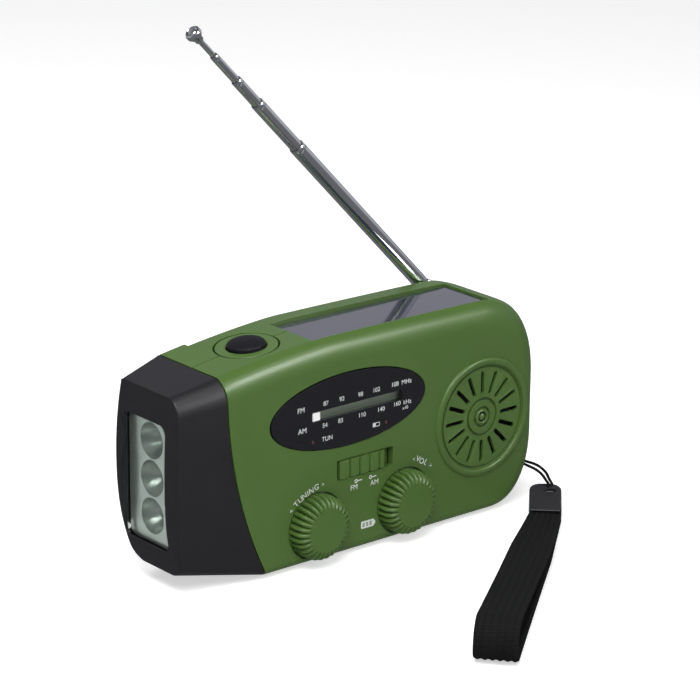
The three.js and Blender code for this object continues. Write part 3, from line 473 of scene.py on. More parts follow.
def strap_band():
    """The webbing lies out along the floor, turns over at its far end and comes back above itself."""
    radius = BAND["rise"] / 2
    far = BAND["length"] - radius
    out = [(k / 30 * far, BAND["lower"] * (1 - k / 30) ** 2) for k in range(31)]
    climb = BAND["rise"] - BAND["upper"]
    back = [(k / 30 * far, BAND["upper"] + (k / 30) ** 1.2 * climb) for k in range(30, -1, -1)]
    line = out + arc(far, radius, radius, radius, -math.pi / 2, math.pi, 24) + back
    across = 48
    rings = []
    for i, (x, z) in enumerate(line):
        px, pz = line[max(0, i - 1)]
        nx, nz = line[min(len(line) - 1, i + 1)]
        size = math.hypot(nx - px, nz - pz)
        normal = ((nz - pz) / size, -(nx - px) / size)
        share = i / (len(line) - 1)
        lane = 1 - 2 * share  # 1 on the floor, -1 on top
        narrow = 0.8 + 0.2 * min(1, x / 30)
        shift = -BAND["fan"] * x * max(0, lane) + BAND["fan_top"] * x * max(0, -lane)
        ring = []
        for side in (1, -1):
            for k in range(across + 1):
                u = side * (1 - 2 * k / across)
                rib = 0.5 + 0.5 * math.cos(math.tau * BAND["ribs"] * (u + 1) / 2 + math.pi)
                lift = side * (BAND["thick"] / 2 - 0.32 * (1 - rib) - 0.12 * u ** 8)
                sideways = shift + u * BAND["width"] / 2 * narrow
                ring.append((x + normal[0] * lift, sideways, z + normal[1] * lift))
        rings.append(ring)
    band = skin("strap_band", rings)
    reach = CLIP["length"] / 2 + BAND["gap"]
    start = Vector(CLIP["at"]) + Vector((math.cos(CLIP["heading"]), math.sin(CLIP["heading"]), 0)) * reach
    start.z = BAND["thick"] / 2 + 0.1
    turned = Matrix.Translation(start) @ Matrix.Rotation(BAND["heading"], 4, "Z")
    return show(band, "housing", WEBBING, "webbing", "strap_webbing", crease=60, turned=turned)


clip = strap_clip()
cord, cord_start, cord_length = strap_cord()
band = strap_band()

# ---------- the body's form ----------
HALF, BOTTOM, RIGHT, LEFT = 14.85, 1, 62.55, -62
GAP = 0.15  # left on each side where two mouldings meet
EDGE = dict(front=(7, 4.5), rear=(1, 1), bottom=(2.6, 2.6), end=(7, 7))
BUTTON = dict(x=-32, z=61.45, tilt=0.118, ring=8.9, bore=5.6, radius=5.3)
SOLAR_AT = dict(x0=-18, x1=45.2, y0=-10.85, y1=7.6, top=62)
DIAL = dict(x=-8.5, z=42.85, a=27, b=10.3, slot0=-21.5, slot1=10.3, slot_z=42.95, slot_height=2.7)
SWITCH = dict(x0=-12.5, x1=7.3, z0=22.8, z1=28.5, travel=2.9, pitch=3.5)
KNOB = dict(z=11.63, skirt=9.15, face=6.1, well=9.6, floor=-13.85, back=-14.15, shoulder=-16.5, front=-20)
TUNING_X, VOLUME_X = -19.66, 11.49
SPEAKER = dict(
    x=40.2, z=29.85, slots=16,
    grooves=((14.5, 15.05, -14.3, 96), (4.9, 5.65, -14.05, 64), (2.35, 3.0, -14.1, 48)),
)


def roof_at(x):
    fall = max(0, -14 - x)
    return 63.25 - 0.00013 * (x + 14) ** 2 if x > -14 else 63.25 - 0.062 * fall - 0.0014 * fall * fall


def inset(y, size):
    inward, along = size
    share = min(1, max(0, (abs(y) - (HALF - along)) / along))
    return inward * (1 - math.sqrt(1 - share * share))


def outline(y, wall=0, roof=0, fine=3):
    upper = inset(y, EDGE["front"] if y < 0 else EDGE["rear"]) + roof
    lower, end = inset(y, EDGE["bottom"]) + wall, inset(y, EDGE["end"]) + wall
    right, bottom = RIGHT - end, BOTTOM + lower
    corner_x, corner_z, top_x, top_z = 17 - end * 0.8, 21 - lower, 21 - end * 0.5, 25 - upper
    ring = [(LEFT + k / 10 * (right - corner_x - LEFT), y, bottom) for k in range(10)]
    for k in range(8 * fine + 1):
        turn = k / (8 * fine) * math.pi / 2
        ring.append((right - corner_x + corner_x * math.sin(turn) ** 0.88, y,
                     bottom + corner_z * (1 - max(0, math.cos(turn)) ** 0.88)))
    shoulder = right - top_x
    shoulder_z = roof_at(shoulder) - upper
    for k in range(9 * fine + 1):
        turn = k / (9 * fine) * math.pi / 2
        ring.append((shoulder + top_x * max(0, math.cos(turn)) ** 0.88, y,
                     shoulder_z - top_z * (1 - math.sin(turn) ** 0.88)))
    for k in range(1, 28):
        x = shoulder + k / 27 * (LEFT - shoulder)
        ring.append((x, y, roof_at(x) - upper))
    return ring


def depths(sign, wall=0.0, start=GAP):
    """Where a half's cross-sections lie, from the parting plane out to its face."""
    found = {0.0, start}
    for inward, along in EDGE.values():
        for k in range(0, 9):
            found.add(round(HALF - along + along * math.sin(k / 8 * math.pi / 2), 3))
    kept = sorted({min(d, HALF - wall) for d in found if d >= start})
    thinned = [kept[0]]
    for d in kept[1:]:
        if d - thinned[-1] > 0.012 or d == kept[-1]:
            thinned.append(d)
    return [sign * d for d in thinned]


SEAM_TOP = (-52.3, 75)  # the seam leans a little above its curve
SEAM_BEZIER = ((-49.5, 53), (-49, 36), (-45.2, 18), (-36, 0))


def seam_point(t):
    s = 1 - t
    weights = (s ** 3, 3 * s * s * t, 3 * s * t * t, t ** 3)
    return tuple(sum(w * p[k] for w, p in zip(weights, SEAM_BEZIER)) for k in (0, 1))


def seam_at(z):
    low, high = 0.0, 1.0
    for _ in range(40):
        middle = (low + high) / 2
        low, high = (middle, high) if seam_point(middle)[1] > z else (low, middle)
    (x, bend), (top_x, top_z) = SEAM_BEZIER[0], SEAM_TOP
    return x + (z - bend) * (top_x - x) / (top_z - bend) if z >= bend else seam_point(low)[0]


def left_of_seam():
    line = [(x + GAP, z) for x, z in (SEAM_TOP, *(seam_point(k / 24) for k in range(25)))]
    return prism("left_of_seam", line + [(-33.0, -8), (-90, -8), (-90, 75)], "y", -30, 30)


def half_case(name, sign):
    shell = skin(name, [outline(y) for y in depths(sign)])
    inner = skin("inner", [outline(y, 2.2, 3.5, 1) for y in [-sign * 1.0] + depths(sign, 2.2, 0.0)])
    if sign > 0:
        combine(inner, "DIFFERENCE", cuboid("ledge", (-80, 10.3, 50.3), (80, 20, 80)))
    return shell, inner


def tilted(solid):
    """Moves a solid from the torch button's own axis to the body."""
    place = Matrix.Translation((BUTTON["x"], 0, BUTTON["z"]))
    solid.data.transform(place @ Matrix.Rotation(-BUTTON["tilt"], 4, "Y"))
    return solid


def button_hole():
    return tilted(bar("hole", BUTTON["ring"] + GAP, -7, 7, "z", sides=80))


def solar_hole():
    return cuboid("solar_hole", (SOLAR_AT["x0"], SOLAR_AT["y0"], 50), (SOLAR_AT["x1"], SOLAR_AT["y1"], 75))


def foot_pockets(sign):
    return [bar("pocket", 2.5, -1, 1.9, "z", (x, 10 if sign > 0 else -7.5, 0), 32) for x in (-26, 42)]


def front_shell():
    shell, inner = half_case("front_case", -1)
    x, z = SPEAKER["x"], SPEAKER["z"]
    slots = []
    for k in range(SPEAKER["slots"]):
        turn = k / SPEAKER["slots"] * math.tau
        slot = prism("slot", rounded(10.15, 0, 3.25, 0.6, 0.5, 4), "y", -18, -10)
        slot.data.transform(Matrix.Translation((x, 0, z)) @ Matrix.Rotation(-turn, 4, "Y"))
        slots.append(slot)
    grooves = [washer("groove", inner, outer, -16, floor, "y", (x, 0, z), sides)
               for inner, outer, floor, sides in SPEAKER["grooves"]]
    dial_edge = ellipse(DIAL["x"], DIAL["z"], DIAL["a"] + 0.25, DIAL["b"] + 0.25)
    cutters = merge(
        "cutters", *slots,
        prism("dial_recess", dial_edge, "y", -20, -13.35),
        prism("switch_hole", rounded(-2.6, 25.65, 9.9, 2.85, 0.35, 4), "y", -20, -10),
        *[bar("shaft_hole", 3.6, -20, -10, "y", (knob_x, 0, KNOB["z"])) for knob_x in (TUNING_X, VOLUME_X)],
        *grooves, *foot_pockets(-1),
    )
    window_hole = cuboid("window_hole", (-22.3, -14, 38.5), (12.5, -10, 47.5))
    wells = [bar("well", KNOB["well"], -20, KNOB["floor"], "y", (knob_x, 0, KNOB["z"]), 96)
             for knob_x in (TUNING_X, VOLUME_X)]
    grille_back = bar("grille_back", 14.2, -13.75, -10, "y", (x, 0, z), 64)
    combine(shell, "DIFFERENCE", inner, left_of_seam(), button_hole(), solar_hole(), grille_back, cutters,
            *wells, window_hole)
    show(shell, "housing", GREEN, "green_plastic", "front_shell", bevel=0.16, crease=35)
    rim = [(15.2, -14.6), (15.3, -15.0), (15.3, -15.05), *arc(16.3, -15.05, 1, 0.6, math.pi, math.pi, 12),
           (17.3, -15.05), (17.4, -14.95), (17.4, -14.6)]
    ring = lathe("speaker_rim", rim, "y", (x, 0, z), 128, loop=True)
    show(ring, "housing", GREEN, "green_plastic", crease=50)
    boss = [(0.001, -14.6), (2.3, -14.6), (2.3, -14.95), (2.1, -15.1), (1.6, -15.1), (1.4, -14.85),
            (1.0, -14.85), (0.8, -15.1), (0.001, -15.15)]
    show(lathe("speaker_boss", boss, "y", (x, 0, z), 64), "housing", GREEN, "green_plastic", crease=70)


front_shell()


SCREWS = dict(upper_left=(-42, 46), upper_right=(56.5, 38), lower_left=(-30, 22), lower_right=(46, 8.5))
CRANK = dict(x=13, z=28, end=-18, radius=7, grip_y=19.7)


def rear_shell():
    shell, inner = half_case("rear_case", 1)
    whole = skin("whole", [outline(y, 0.5, 0.5) for y in depths(-1, 0.5)[::-1] + depths(1, 0.5)])
    combine(shell, "DIFFERENCE", inner)
    lug = cuboid("lug_block", (50, 1, 4), (70, 13, 18))
    combine(lug, "INTERSECT", whole)
    shaft, screws = (CRANK["x"], 0, CRANK["z"]), SCREWS.values()
    boss = [(0.001, 10.5), (7, 10.5), (7, 16.4), (6.2, 17.2), (0.001, 17.2)]
    boss = lathe("crank_boss", boss, "y", shaft, 64)
    posts = [bar("post", 3.4, 8.5, 14.5, "y", (x, 0, z)) for x, z in screws]
    combine(shell, "UNION", lug, boss, *posts)
    combine(shell, "DIFFERENCE", cuboid("pocket", (52, 0.8, 6.2), (66, 9.4, 14.6)))
    combine(shell, "UNION", bar("lug_bar", 1.5, 5.2, 15.6, "z", (56.8, 5.2, 0)))
    cutters = merge(
        "cutters", cuboid("step", (-42, 12.5, 52.5), (58.5, 40, 80)),
        *[bar("screw_hole", 1.6, 0, 12.4, "y", (x, 0, z), 24) for x, z in screws],
        bar("crank_bore", 3.3, 0, 25, "y", shaft, 48),
        cuboid("usb_hole", (-38.5, 8, 8.9), (-24.1, 20, 16)),
        cuboid("charge_hole", (-21.3, 8, 10.4), (-12.7, 20, 14.4)),
        *foot_pockets(1),
    )
    counterbores = merge("counterbores", *[bar("bore", 2.9, 12.26, 20, "y", (x, 0, z), 48) for x, z in screws])
    knuckle_hole = bar("knuckle_hole", 2.4, 8, 13.45, "y", (48.5, 0, 55.6), 32)
    combine(shell, "DIFFERENCE", left_of_seam(), button_hole(), solar_hole(), cutters, counterbores,
            knuckle_hole)
    hook = [(14, 49.6), (18.7, 49.6), (18.7, 58.2), (17.5, 58.2), (17.5, 51.9), (14, 51.9)]
    prong = prism("prong", hook, "x", -24, -20)
    combine(shell, "UNION", prong)
    show(shell, "housing", GREEN, "green_plastic", "rear_shell", bevel=0.16, crease=35)


rear_shell()


# ---------- lamp end ----------
WINDOW_AT = dict(y=2.1, z=29.85, half_width=9.6, half_height=17.65, corner=2.6)
FACE = dict(x=-65.15, middle=31, top=55.9, bottom=5.2, half_depth=14.15, widest=36)
LED = dict(z=30.2, pitch=10.6, mouth=5.0, radius=2.5)


def bezel_ring(top, bottom, width_at, front_top, rear_top, lower, x_at):
    """Loop round one end of the case: down the rear side and up the front side."""
    sides = []
    for sign, upper in ((1, rear_top), (-1, front_top)):
        spots = []
        for k in range(13):
            turn = k / 12 * math.pi / 2
            spots.append((upper[0] * (1 - math.sin(turn)), top - upper[1] * (1 - math.cos(turn))))
        spots += [(0, top - upper[1] - k / 24 * (top - bottom - upper[1] - lower[1])) for k in range(1, 24)]
        for k in range(13):
            turn = k / 12 * math.pi / 2
            spots.append((lower[0] * (1 - math.cos(turn)), bottom + lower[1] * (1 - math.sin(turn))))
        sides.append([(x_at(z), sign * (width_at(z) - inward), z) for inward, z in spots])
    return sides[0] + sides[1][::-1]


def face_at(z):
    above = z - FACE["middle"]
    return FACE["x"] + (0.8 * (above / 22) ** 2 if above > 0 else 3 * (-above / 25) ** 2.6)


def lamp_bezel():
    seam = bezel_ring(roof_at(seam_at(60)) - 0.02, BOTTOM, lambda z: HALF, EDGE["front"][::-1], EDGE["rear"],
                      EDGE["bottom"], lambda z: seam_at(z) - GAP)
    face = bezel_ring(FACE["top"], FACE["bottom"], lambda z: FACE["half_depth"] - 0.004 * (z - FACE["widest"]) ** 2,
                      (4.4, 4.8), (1, 1), (4.7, 4), face_at)
    around = len(seam)
    faces = [(i, (i + 1) % around, around + (i + 1) % around, around + i) for i in range(around)]
    for start in (0, around):
        last = start + around - 1
        faces += [(start + i, start + i + 1, last - 1 - i, last - i) for i in range(around // 2 - 1)]
    bezel = new_solid("lamp_case", seam + face, faces)
    w = WINDOW_AT
    opening = rounded(w["y"], w["z"], w["half_width"], w["half_height"], w["corner"])
    window = prism("window", opening, "x", -72, -60)
    chamber = prism("chamber", rounded(w["y"], w["z"], 10.5, 18.55, 3), "x", -63.1, -54)
    hollow = cuboid("hollow", (-59, -11.6, 8.9), (-20, 12, 51.6))
    combine(bezel, "DIFFERENCE", hollow, chamber, window)
    show(bezel, "housing", BLACK, "black_plastic", "lamp_bezel", bevel=0.3, segments=3, crease=24)


lamp_bezel()


def lamp_inside():
    w = WINDOW_AT
    lens = prism("lamp_window", rounded(w["y"], w["z"], 10.3, 18.35, 2.9), "x", -63, -62)
    show(lens, "housing", CLEAR, "clear_plastic", "lamp_lens", bevel=0.15)
    plate = prism("reflector_plate", rounded(w["y"], w["z"], 10, 18.05, 2.8), "x", -61.7, -60.8)
    heights = [LED["z"] + row * LED["pitch"] for row in (1, 0, -1)]
    mouths = merge("mouths", *[bar("mouth", LED["mouth"], -65, -50, "x", (0, w["y"], z), 64) for z in heights])
    combine(plate, "DIFFERENCE", mouths)
    bowls = []
    for z in heights:
        inner = [(LED["mouth"] - 3.0 * (k / 16) ** 1.6, -61.55 + 6 * (k / 16)) for k in range(17)]
        outer = [(r + 0.25, a + 0.15) for r, a in inner[::-1]]
        bowls.append(lathe("bowl", inner + outer, "x", (0, w["y"], z), 64, loop=True))
    bowls = merge("reflector_bowls", *bowls)
    show(plate, "housing", REFLECTOR, "chrome", "lamp_reflector", bevel=0.2)
    show(bowls, "housing", REFLECTOR, "chrome", crease=50)
    for name, z in zip(("led_upper", "led_middle", "led_lower"), heights):
        radius, centre = LED["radius"], (0, w["y"], z)
        dome = [(0.001, -50.2), (radius, -50.2), (radius, -56.2),
                *arc(0, -56.2, radius, radius, 0, -math.pi / 2, 10), (0.001, -58.7)]
        dome = lathe(name + "_dome", dome, "x", centre, 32)
        show(dome, "housing", CLEAR, "clear_plastic", name)
        chip = [(0.001, -52.8), (0.8, -52.8), (1.4, -54.6), (0.001, -54.4)]
        chip = lathe(name + "_chip", chip, "x", centre, 16)
        show(chip, "housing", WHITE, "white_plastic")


lamp_inside()


# ---------- top ----------
def top_pieces():
    b = BUTTON
    collar = [(b["bore"], -2.4), (b["ring"] - 0.35, -2.4), (b["ring"] - 0.35, 0.05), (b["ring"] - 0.45, 0.15),
              (b["bore"] + 0.25, 0.15), (b["bore"], -0.1)]
    collar = tilted(lathe("collar", collar, "z", sides=96, loop=True))
    show(collar, "housing", GREEN, "green_plastic", "button_collar", crease=28)
    cap = [(0.001, -5.2), (1.6, -5.2), (1.6, -2.9), (b["radius"], -2.9), (b["radius"], 0.6),
           *arc(0, 0.7, b["radius"], 1.3, 0, math.pi / 2, 14), (0.001, 2.0)]
    cap = tilted(lathe("button", cap, "z", sides=96))
    show(cap, "torch_button", BUTTON_BLACK, "black_plastic", "torch_button", crease=50)
    s = SOLAR_AT
    panel = cuboid("solar_glass", (s["x0"] + 0.5, s["y0"] + 0.3, s["top"] - 1.2),
                   (s["x1"] - 0.3, s["y1"] - 0.3, s["top"]))
    show(panel, "housing", SOLAR, "solar_cell", "solar_panel", bevel=0.15)


top_pieces()


# ---------- front controls ----------
def dial():
    window = prism("dial_glass", ellipse(DIAL["x"], DIAL["z"], DIAL["a"], DIAL["b"], 128), "y", -15.15, -13.65)
    middle, reach = (DIAL["slot0"] + DIAL["slot1"]) / 2, (DIAL["slot1"] - DIAL["slot0"]) / 2
    slot = prism("slot", rounded(middle, DIAL["slot_z"], reach, DIAL["slot_height"] / 2, 0.4, 6), "y", -20, -10)
    combine(window, "DIFFERENCE", slot)
    show(window, "housing", WINDOW, "gloss_window", "dial_window", bevel=0.1)
    pointer = prism("pointer", rounded(-20, 43, 1.3, 4, 0.4, 5), "y", -13.35, -12.75)
    knob = prism("pointer_tab", rounded(-20, DIAL["slot_z"], 1.28, 1.18, 0.3, 6), "y", -15.1, -13.2)
    combine(pointer, "UNION", knob)
    show(pointer, "dial_pointer", WHITE, "white_plastic", "dial_pointer", bevel=0.15)


def knob(name, x, body):
    """Skirt with rounded ridges and sharp valleys between them, curving in to a flat plain face."""
    ridges, samples = 30, 12
    around = [i * math.tau / (ridges * samples) for i in range(ridges * samples)]
    k = KNOB
    profile = [(3.25, -18.5, 0), (3.25, k["back"], 0), (k["skirt"], k["back"], 0), (k["skirt"], k["back"] - 0.1, 0.6),
               (k["skirt"], k["back"] - 0.6, 1), (k["skirt"], k["shoulder"], 1)]
    for step in range(1, 15):
        turn = step / 14 * math.pi / 2
        depth = 1 if step < 12 else (0.7, 0.3, 0)[step - 12]
        profile.append((k["face"] + (k["skirt"] - k["face"]) * math.cos(turn),
                        k["shoulder"] + (k["front"] - k["shoulder"]) * math.sin(turn), depth))
    profile.append((k["face"] - 0.25, k["front"], 0))
    rings = []
    for radius, y, depth in profile:
        ring = []
        for turn in around:
            reach = radius - 1.5 * depth * (1 - abs(math.cos(ridges * turn / 2)) ** 0.6)
            ring.append((x + reach * math.cos(turn), y, k["z"] + reach * math.sin(turn)))
        rings.append(ring)
    show(skin(name, rings), body, GREEN, "green_plastic", body + "_knob", crease=38)


def band_slider():
    x0, x1 = SWITCH["x0"] + 0.9, SWITCH["x1"] - 0.2 - SWITCH["travel"]
    grip = [(x0, -12), (x0, -14.9), (x0 + 0.3, -15.25)]
    for k in range(1, 5):
        x = x0 + k * SWITCH["pitch"]
        grip += [(x - 0.6, -15.25), (x - 0.35, -14.95), (x - 0.2, -14.45),
                 (x + 0.2, -14.45), (x + 0.35, -14.95), (x + 0.6, -15.25)]
    grip += [(x1 - 0.3, -15.25), (x1, -14.9), (x1, -12)]
    slider = prism("slider", grip, "z", SWITCH["z0"] + 0.25, SWITCH["z1"] - 0.25)
    plate = prism("plate", rounded(-4.1, 25.65, 11.5, 3.85, 0.5, 4), "y", -12.35, -11.75)
    combine(slider, "UNION", plate)
    show(slider, "band_slider", GREEN, "green_plastic", "band_slider", bevel=0.08, crease=30)


dial()
knob("tuning_cap", TUNING_X, "tuning")
knob("volume_cap", VOLUME_X, "volume")
band_slider()


# ---------- printing ----------
PRINT_HALF = 0.02  # half the height of the raised print
DIAL_PRINT, CASE_PRINT = -15.16, -14.86  # where the print's middle lies


def lettering(name, items, material, y):
    """Raised print on the front: each item is (text, x, z, size, turn)."""
    work = bmesh.new()
    for text, x, z, size, turn in items:
        curve = bpy.data.curves.new("text", "FONT")
        curve.body, curve.size, curve.extrude = text, size, PRINT_HALF
        curve.align_x, curve.align_y = "CENTER", "CENTER"
        made = bpy.data.objects.new("text", curve)
        bpy.context.scene.collection.objects.link(made)
        mesh = bpy.data.meshes.new_from_object(made.evaluated_get(bpy.context.evaluated_depsgraph_get()))
        upright = Matrix.Translation((x, y, z)) @ Matrix.Rotation(math.pi / 2, 4, "X")
        mesh.transform(upright @ Matrix.Rotation(turn, 4, "Z"))
        work.from_mesh(mesh)
        bpy.data.objects.remove(made)
    mesh = bpy.data.meshes.new(name)
    work.to_mesh(mesh)
    work.free()
    letters = bpy.data.objects.new(name, mesh)
    bpy.context.scene.collection.objects.link(letters)
    mesh.transform(PLACE)
    mesh.materials.append(material)
    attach(letters, "housing")


def round_knob(letters, centre_x):
    """Letters placed round a knob: each is (letter, distance from its axis, angle in degrees)."""
    for letter, radius, angle in letters:
        turn, size = math.radians(angle), 1.7 if letter in "<>" else 2.3
        x, z = centre_x + radius * math.cos(turn), KNOB["z"] + radius * math.sin(turn)
        yield letter, x, z, size, turn - math.pi / 2


lettering("dial_print", [
    ("FM", -25.4, 45.8, 2.05, 0), ("AM", -24.9, 39.9, 2.05, 0), ("TUN", -16.3, 36.05, 1.8, 0),
    ("87", -16.85, 46.1, 1.8, 0), ("92", -11.3, 46.2, 1.8, 0), ("98", -4.75, 46.1, 1.8, 0),
    ("102", 0.8, 46.2, 1.8, 0), ("108", 7.45, 46.4, 1.8, 0), ("MHz", 11.6, 46.4, 1.9, 0),
    ("54", -17.15, 39.95, 1.8, 0), ("83", -11.7, 40.1, 1.8, 0), ("110", -4.2, 40.1, 1.8, 0),
    ("140", 2.55, 40.25, 1.8, 0), ("160", 8.25, 40.6, 1.8, 0), ("kHz", 12.0, 40.45, 1.8, 0),
    ("x10", 11.3, 38.9, 1.3, 0),
], PRINT, DIAL_PRINT)
TUNING_LETTERS = (("<", 10.7, 144.6), ("T", 10.5, 131.8), ("U", 10.4, 122.4), ("N", 10.4, 113.9),
                  ("I", 10.45, 106.8), ("N", 10.6, 100), ("G", 11.1, 90.2), (">", 11.6, 79.2))
VOLUME_LETTERS = (("<", 11.75, 72.6), ("V", 12.1, 65.6), ("O", 11.9, 57.9), ("L", 12.2, 50.1), (">", 12.5, 39.9))
lettering("case_print", [
    *round_knob(TUNING_LETTERS, TUNING_X), *round_knob(VOLUME_LETTERS, VOLUME_X),
    ("FM", -6.55, 19.6, 2.1, 0), ("AM", 0.75, 19.4, 2.1, 0),
], PRINT, CASE_PRINT)


def mark(points, y):
    return prism("mark", points, "y", y - PRINT_HALF, y + PRINT_HALF)


def printed(name, pieces, material=PRINT, slot="white_plastic"):
    show(merge(name, *pieces), "housing", material, slot)


frame_and_tip = ((-1.6, 7.8, 2.3, 1.05, 0.3, 3), (0.95, 7.8, 0.2, 0.5, 0.1, 2))
printed("battery_mark", [mark(rounded(*spot), CASE_PRINT) for spot in frame_and_tip])
bars = [mark(rounded(-1.6 + shift, 7.8, 0.42, 0.65, 0.1, 2), -14.9) for shift in (-1.4, -0.15, 1.1)]
printed("battery_bars", bars, SCALE_GREY, "scale_grey")
lamp_and_frame = ((0.2, 36.25, 0.5, 0.6, 0.15, 3), (1.4, 36.75, 0.7, 0.09, 0.04, 2),
                  (1.4, 35.75, 0.7, 0.09, 0.04, 2), (2.05, 36.25, 0.1, 0.5, 0.04, 2))
printed("lamp_mark", [mark(rounded(*spot), DIAL_PRINT) for spot in lamp_and_frame])
rings = [washer("mark", 0.3, 0.55, CASE_PRINT - PRINT_HALF, CASE_PRINT + PRINT_HALF, "y", (x, 0, z), 24)
         for x, z in ((-5.8, 21.3), (-0.65, 21.25))]
dashes = [mark(rounded(x, z, 0.75, 0.13, 0.05, 2), CASE_PRINT) for x, z in ((-4.5, 21.3), (0.65, 21.25))]
printed("band_marks", rings + dashes)
leds = [bar("led", 0.45, -15.2, -15.0, "y", (x, 0, z), 24) for x, z in ((-21.3, 36.0), (4.4, 36.2))]
show(merge("dial_leds", *leds), "housing", DARK_LED, "black_plastic", crease=50)


# ---------- antenna ----------
MAST = Matrix.Translation((48.5, 15, 55.6)) @ Matrix.Rotation(-0.77, 4, "Y")
TILT_Z = 5.6  # height of the tilt pin above the swivel
TUBES = (  # outer radius, bore, start and end along the mast
    (2.2, 2.0, 9, 74.3), (1.85, 1.65, 28.7, 93.7), (1.5, 1.3, 40.8, 103.8), (1.15, 0.95, 54.4, 114.4),
    (0.8, 0.6, 63, 121),
)


def antenna():
    knuckle = lathe("knuckle", [(0.001, -2.2), (2.4, -2.2), (2.4, 2.2), (0.001, 2.2)], "y", sides=48)
    combine(knuckle, "UNION", bar("stud", 2, -5.6, -1.5, "y"), cuboid("neck", (-2.4, -2.2, 0), (2.4, 2.2, 4.4)))
    fork = [(-1.9, 3.6), (1.9, 3.6), (1.9, TILT_Z), (1.5, 6.8), (0.7, 7.4), (-0.7, 7.4), (-1.5, 6.8), (-1.9, TILT_Z)]
    combine(knuckle, "UNION", prism("fork", fork, "x", -2.4, 2.4))
    combine(knuckle, "DIFFERENCE", cuboid("gap", (-1.25, -4, 3.6), (1.25, 4, 9)),
            bar("bore", 0.8, -6, 6, "x", (0, 0, TILT_Z), 24))
    show(knuckle, "antenna_base", CHROME, "chrome", "antenna_knuckle", bevel=0.25, segments=3, turned=MAST)
    pin = [(0.001, -2.75), (0.9, -2.75), (1.1, -2.55), (0.7, -2.4), (0.7, 2.4), (1.1, 2.55), (0.9, 2.75),
           (0.001, 2.75)]
    pin = lathe("pin", pin, "x", (0, 0, TILT_Z), 24)
    show(pin, "antenna_base", STEEL, "steel", "antenna_pin", turned=MAST)
    for k, (outer, bore, start, end) in enumerate(TUBES):
        if k < 4:
            profile = [(bore, start), (outer, start), (outer, end - 1.6), (outer - 0.1, end - 1.45),
                       (outer - 0.1, end - 1.25), (outer, end - 1.1), (outer, end - 0.35), (outer - 0.18, end),
                       (bore, end)]
        else:
            profile = [(0.001, start), (outer, start), (outer, 120.6), (1.2, 120.7), (1.25, 121.6), (1.7, 122.3),
                       (2.15, 123), (2.2, 123.4), (2.2, 124.0), (2.0, 124.4), (1.7, 124.55), (1.55, 124.35),
                       (1.3, 124.3), (1.1, 124.5), (0.001, 124.6)]
        tube = lathe("tube", profile, "z", sides=40, loop=k < 4)
        if k == 0:
            foot = lathe("foot", [(0.001, 8.6), (1.9, 8.6), (2.2, 8.9), (2.2, 9.9), (0.001, 9.9)], "z", sides=40)
            tongue = [(-1.5, 9), (-1.5, TILT_Z), *arc(0, TILT_Z, 1.5, 1.5, math.pi, math.pi, 10),
                      (1.5, TILT_Z), (1.5, 9)]
            tongue = prism("tongue", tongue, "x", -0.95, 0.95)
            combine(tongue, "DIFFERENCE", bar("bore", 0.8, -6, 6, "x", (0, 0, TILT_Z), 24))
            combine(tube, "UNION", foot, tongue)
        number = str(k + 1)
        tube.name = "mast_" + number
        show(tube, "antenna_" + number, CHROME, "chrome", "antenna_section_" + number, crease=30, turned=MAST)


antenna()


# ---------- back ----------
def crank():
    end, x, z, radius = CRANK["end"], CRANK["x"], CRANK["z"], CRANK["radius"]
    shape = [(end, z - radius), (x, z - radius), *arc(x, z, radius, radius, -math.pi / 2, math.pi, 24),
             (x, z + radius), (end, z + radius), *arc(end, z, radius, radius, math.pi / 2, math.pi, 24)]
    arm = prism("arm", shape, "y", 17.6, 21.6)
    combine(arm, "DIFFERENCE", prism("gap", rounded(-7.3, z, 14.7, 4.2, 1, 5), "y", 10, 30),
            bar("bore", 1.25, -10, 10, "z", (end, CRANK["grip_y"], z), 32),
            washer("cap_groove", 4.6, 5.1, 21.2, 23, "y", (x, 0, z)))
    show(arm, "crank", BLACK, "black_plastic", "crank_arm", bevel=0.5, segments=3)
    grip = [(1.5, 2.8), (2.9, 2.8), (3.2, 3.2)]
    for k in range(8):
        start = 4.4 + k * 2
        grip += [(3.2, start), (2.85, start + 0.3), (2.85, start + 0.7), (3.2, start + 1.0)]
    grip += [(3.2, 21.5), (2.9, 21.9), (1.5, 21.9)]
    grip = lathe("grip", grip, "x", (end, CRANK["grip_y"], z), 48, loop=True)
    show(grip, "handle", BLACK, "black_plastic", "crank_handle", crease=25)


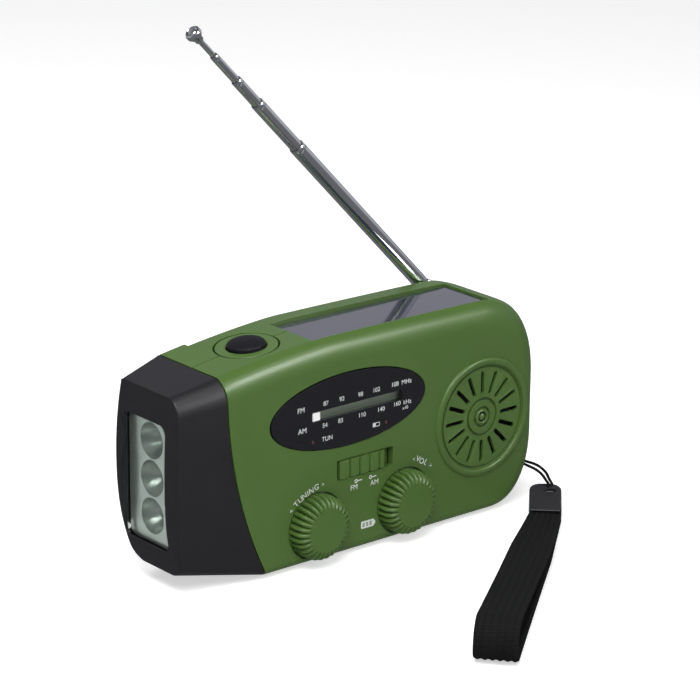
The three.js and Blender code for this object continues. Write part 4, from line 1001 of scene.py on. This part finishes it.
def socket_cover():
    flap = prism("flap", rounded(-25.5, 12.5, 14.2, 5.1, 1.5, 6), "y", 15.2, 16.5)
    groove = prism("groove", rounded(-25.5, 12.5, 12.8, 3.7, 1.1, 6), "y", 16.25, 18)
    panel = prism("panel", rounded(-25.5, 12.5, 12.3, 3.2, 0.9, 6), "y", 16.0, 16.5)
    combine(flap, "DIFFERENCE", groove)
    tab = prism("tab", rounded(-25.5, 17.1, 2.6, 0.5, 0.4, 5), "y", 15.3, 16.6)
    combine(flap, "UNION", panel, tab)
    show(flap, "socket_cover", RUBBER, "rubber", "socket_cover", bevel=0.15)


def screws():
    for name, (x, z) in SCREWS.items():
        profile = [(0.001, 4), (1.3, 5), (1.3, 12.5), (2.6, 12.5), (2.6, 13.2), (2.2, 13.8), (1.2, 14.1), (0.001, 14.2)]
        screw = lathe("screw", profile, "y", (x, 0, z), 40)
        combine(screw, "DIFFERENCE", cuboid("cross", (x - 1.5, 13.1, z - 0.28), (x + 1.5, 16, z + 0.28)),
                cuboid("cross", (x - 0.28, 13.1, z - 1.5), (x + 0.28, 16, z + 1.5)))
        screw.name = "screw_" + name
        show(screw, "housing", STEEL, "steel", "case_screw_" + name, bevel=0.06)


crank()
socket_cover()
screws()

# ---------- CAD pieces that keep their shape ----------
KEPT = {
    BLACK: ["torch_switch", "solar_tray", "gear_plate"], SCALE_GREY: ["dial_scale"],
    STEEL: ["tuning_shaft", "volume_shaft", "volume_potentiometer", "band_switch", "speaker_basket", "generator",
            "crank_shaft", "crank_pin", "usb_port", "charge_port"],
    WHITE: ["tuning_capacitor"], BOARD: ["led_board", "main_board"], PAPER: ["speaker_cone"], WRAP: ["battery_pack"],
    FERRITE: ["ferrite_rod"], GEARS: ["drive_gear", "idler_gear", "rotor_pinion"],
    RUBBER: ["foot_front_left", "foot_front_right", "foot_rear_left", "foot_rear_right"],
}
for material, names in KEPT.items():
    for name in names:
        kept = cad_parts[name]
        kept.data.materials.clear()
        kept.data.materials.append(material)

bpy.context.view_layer.update()
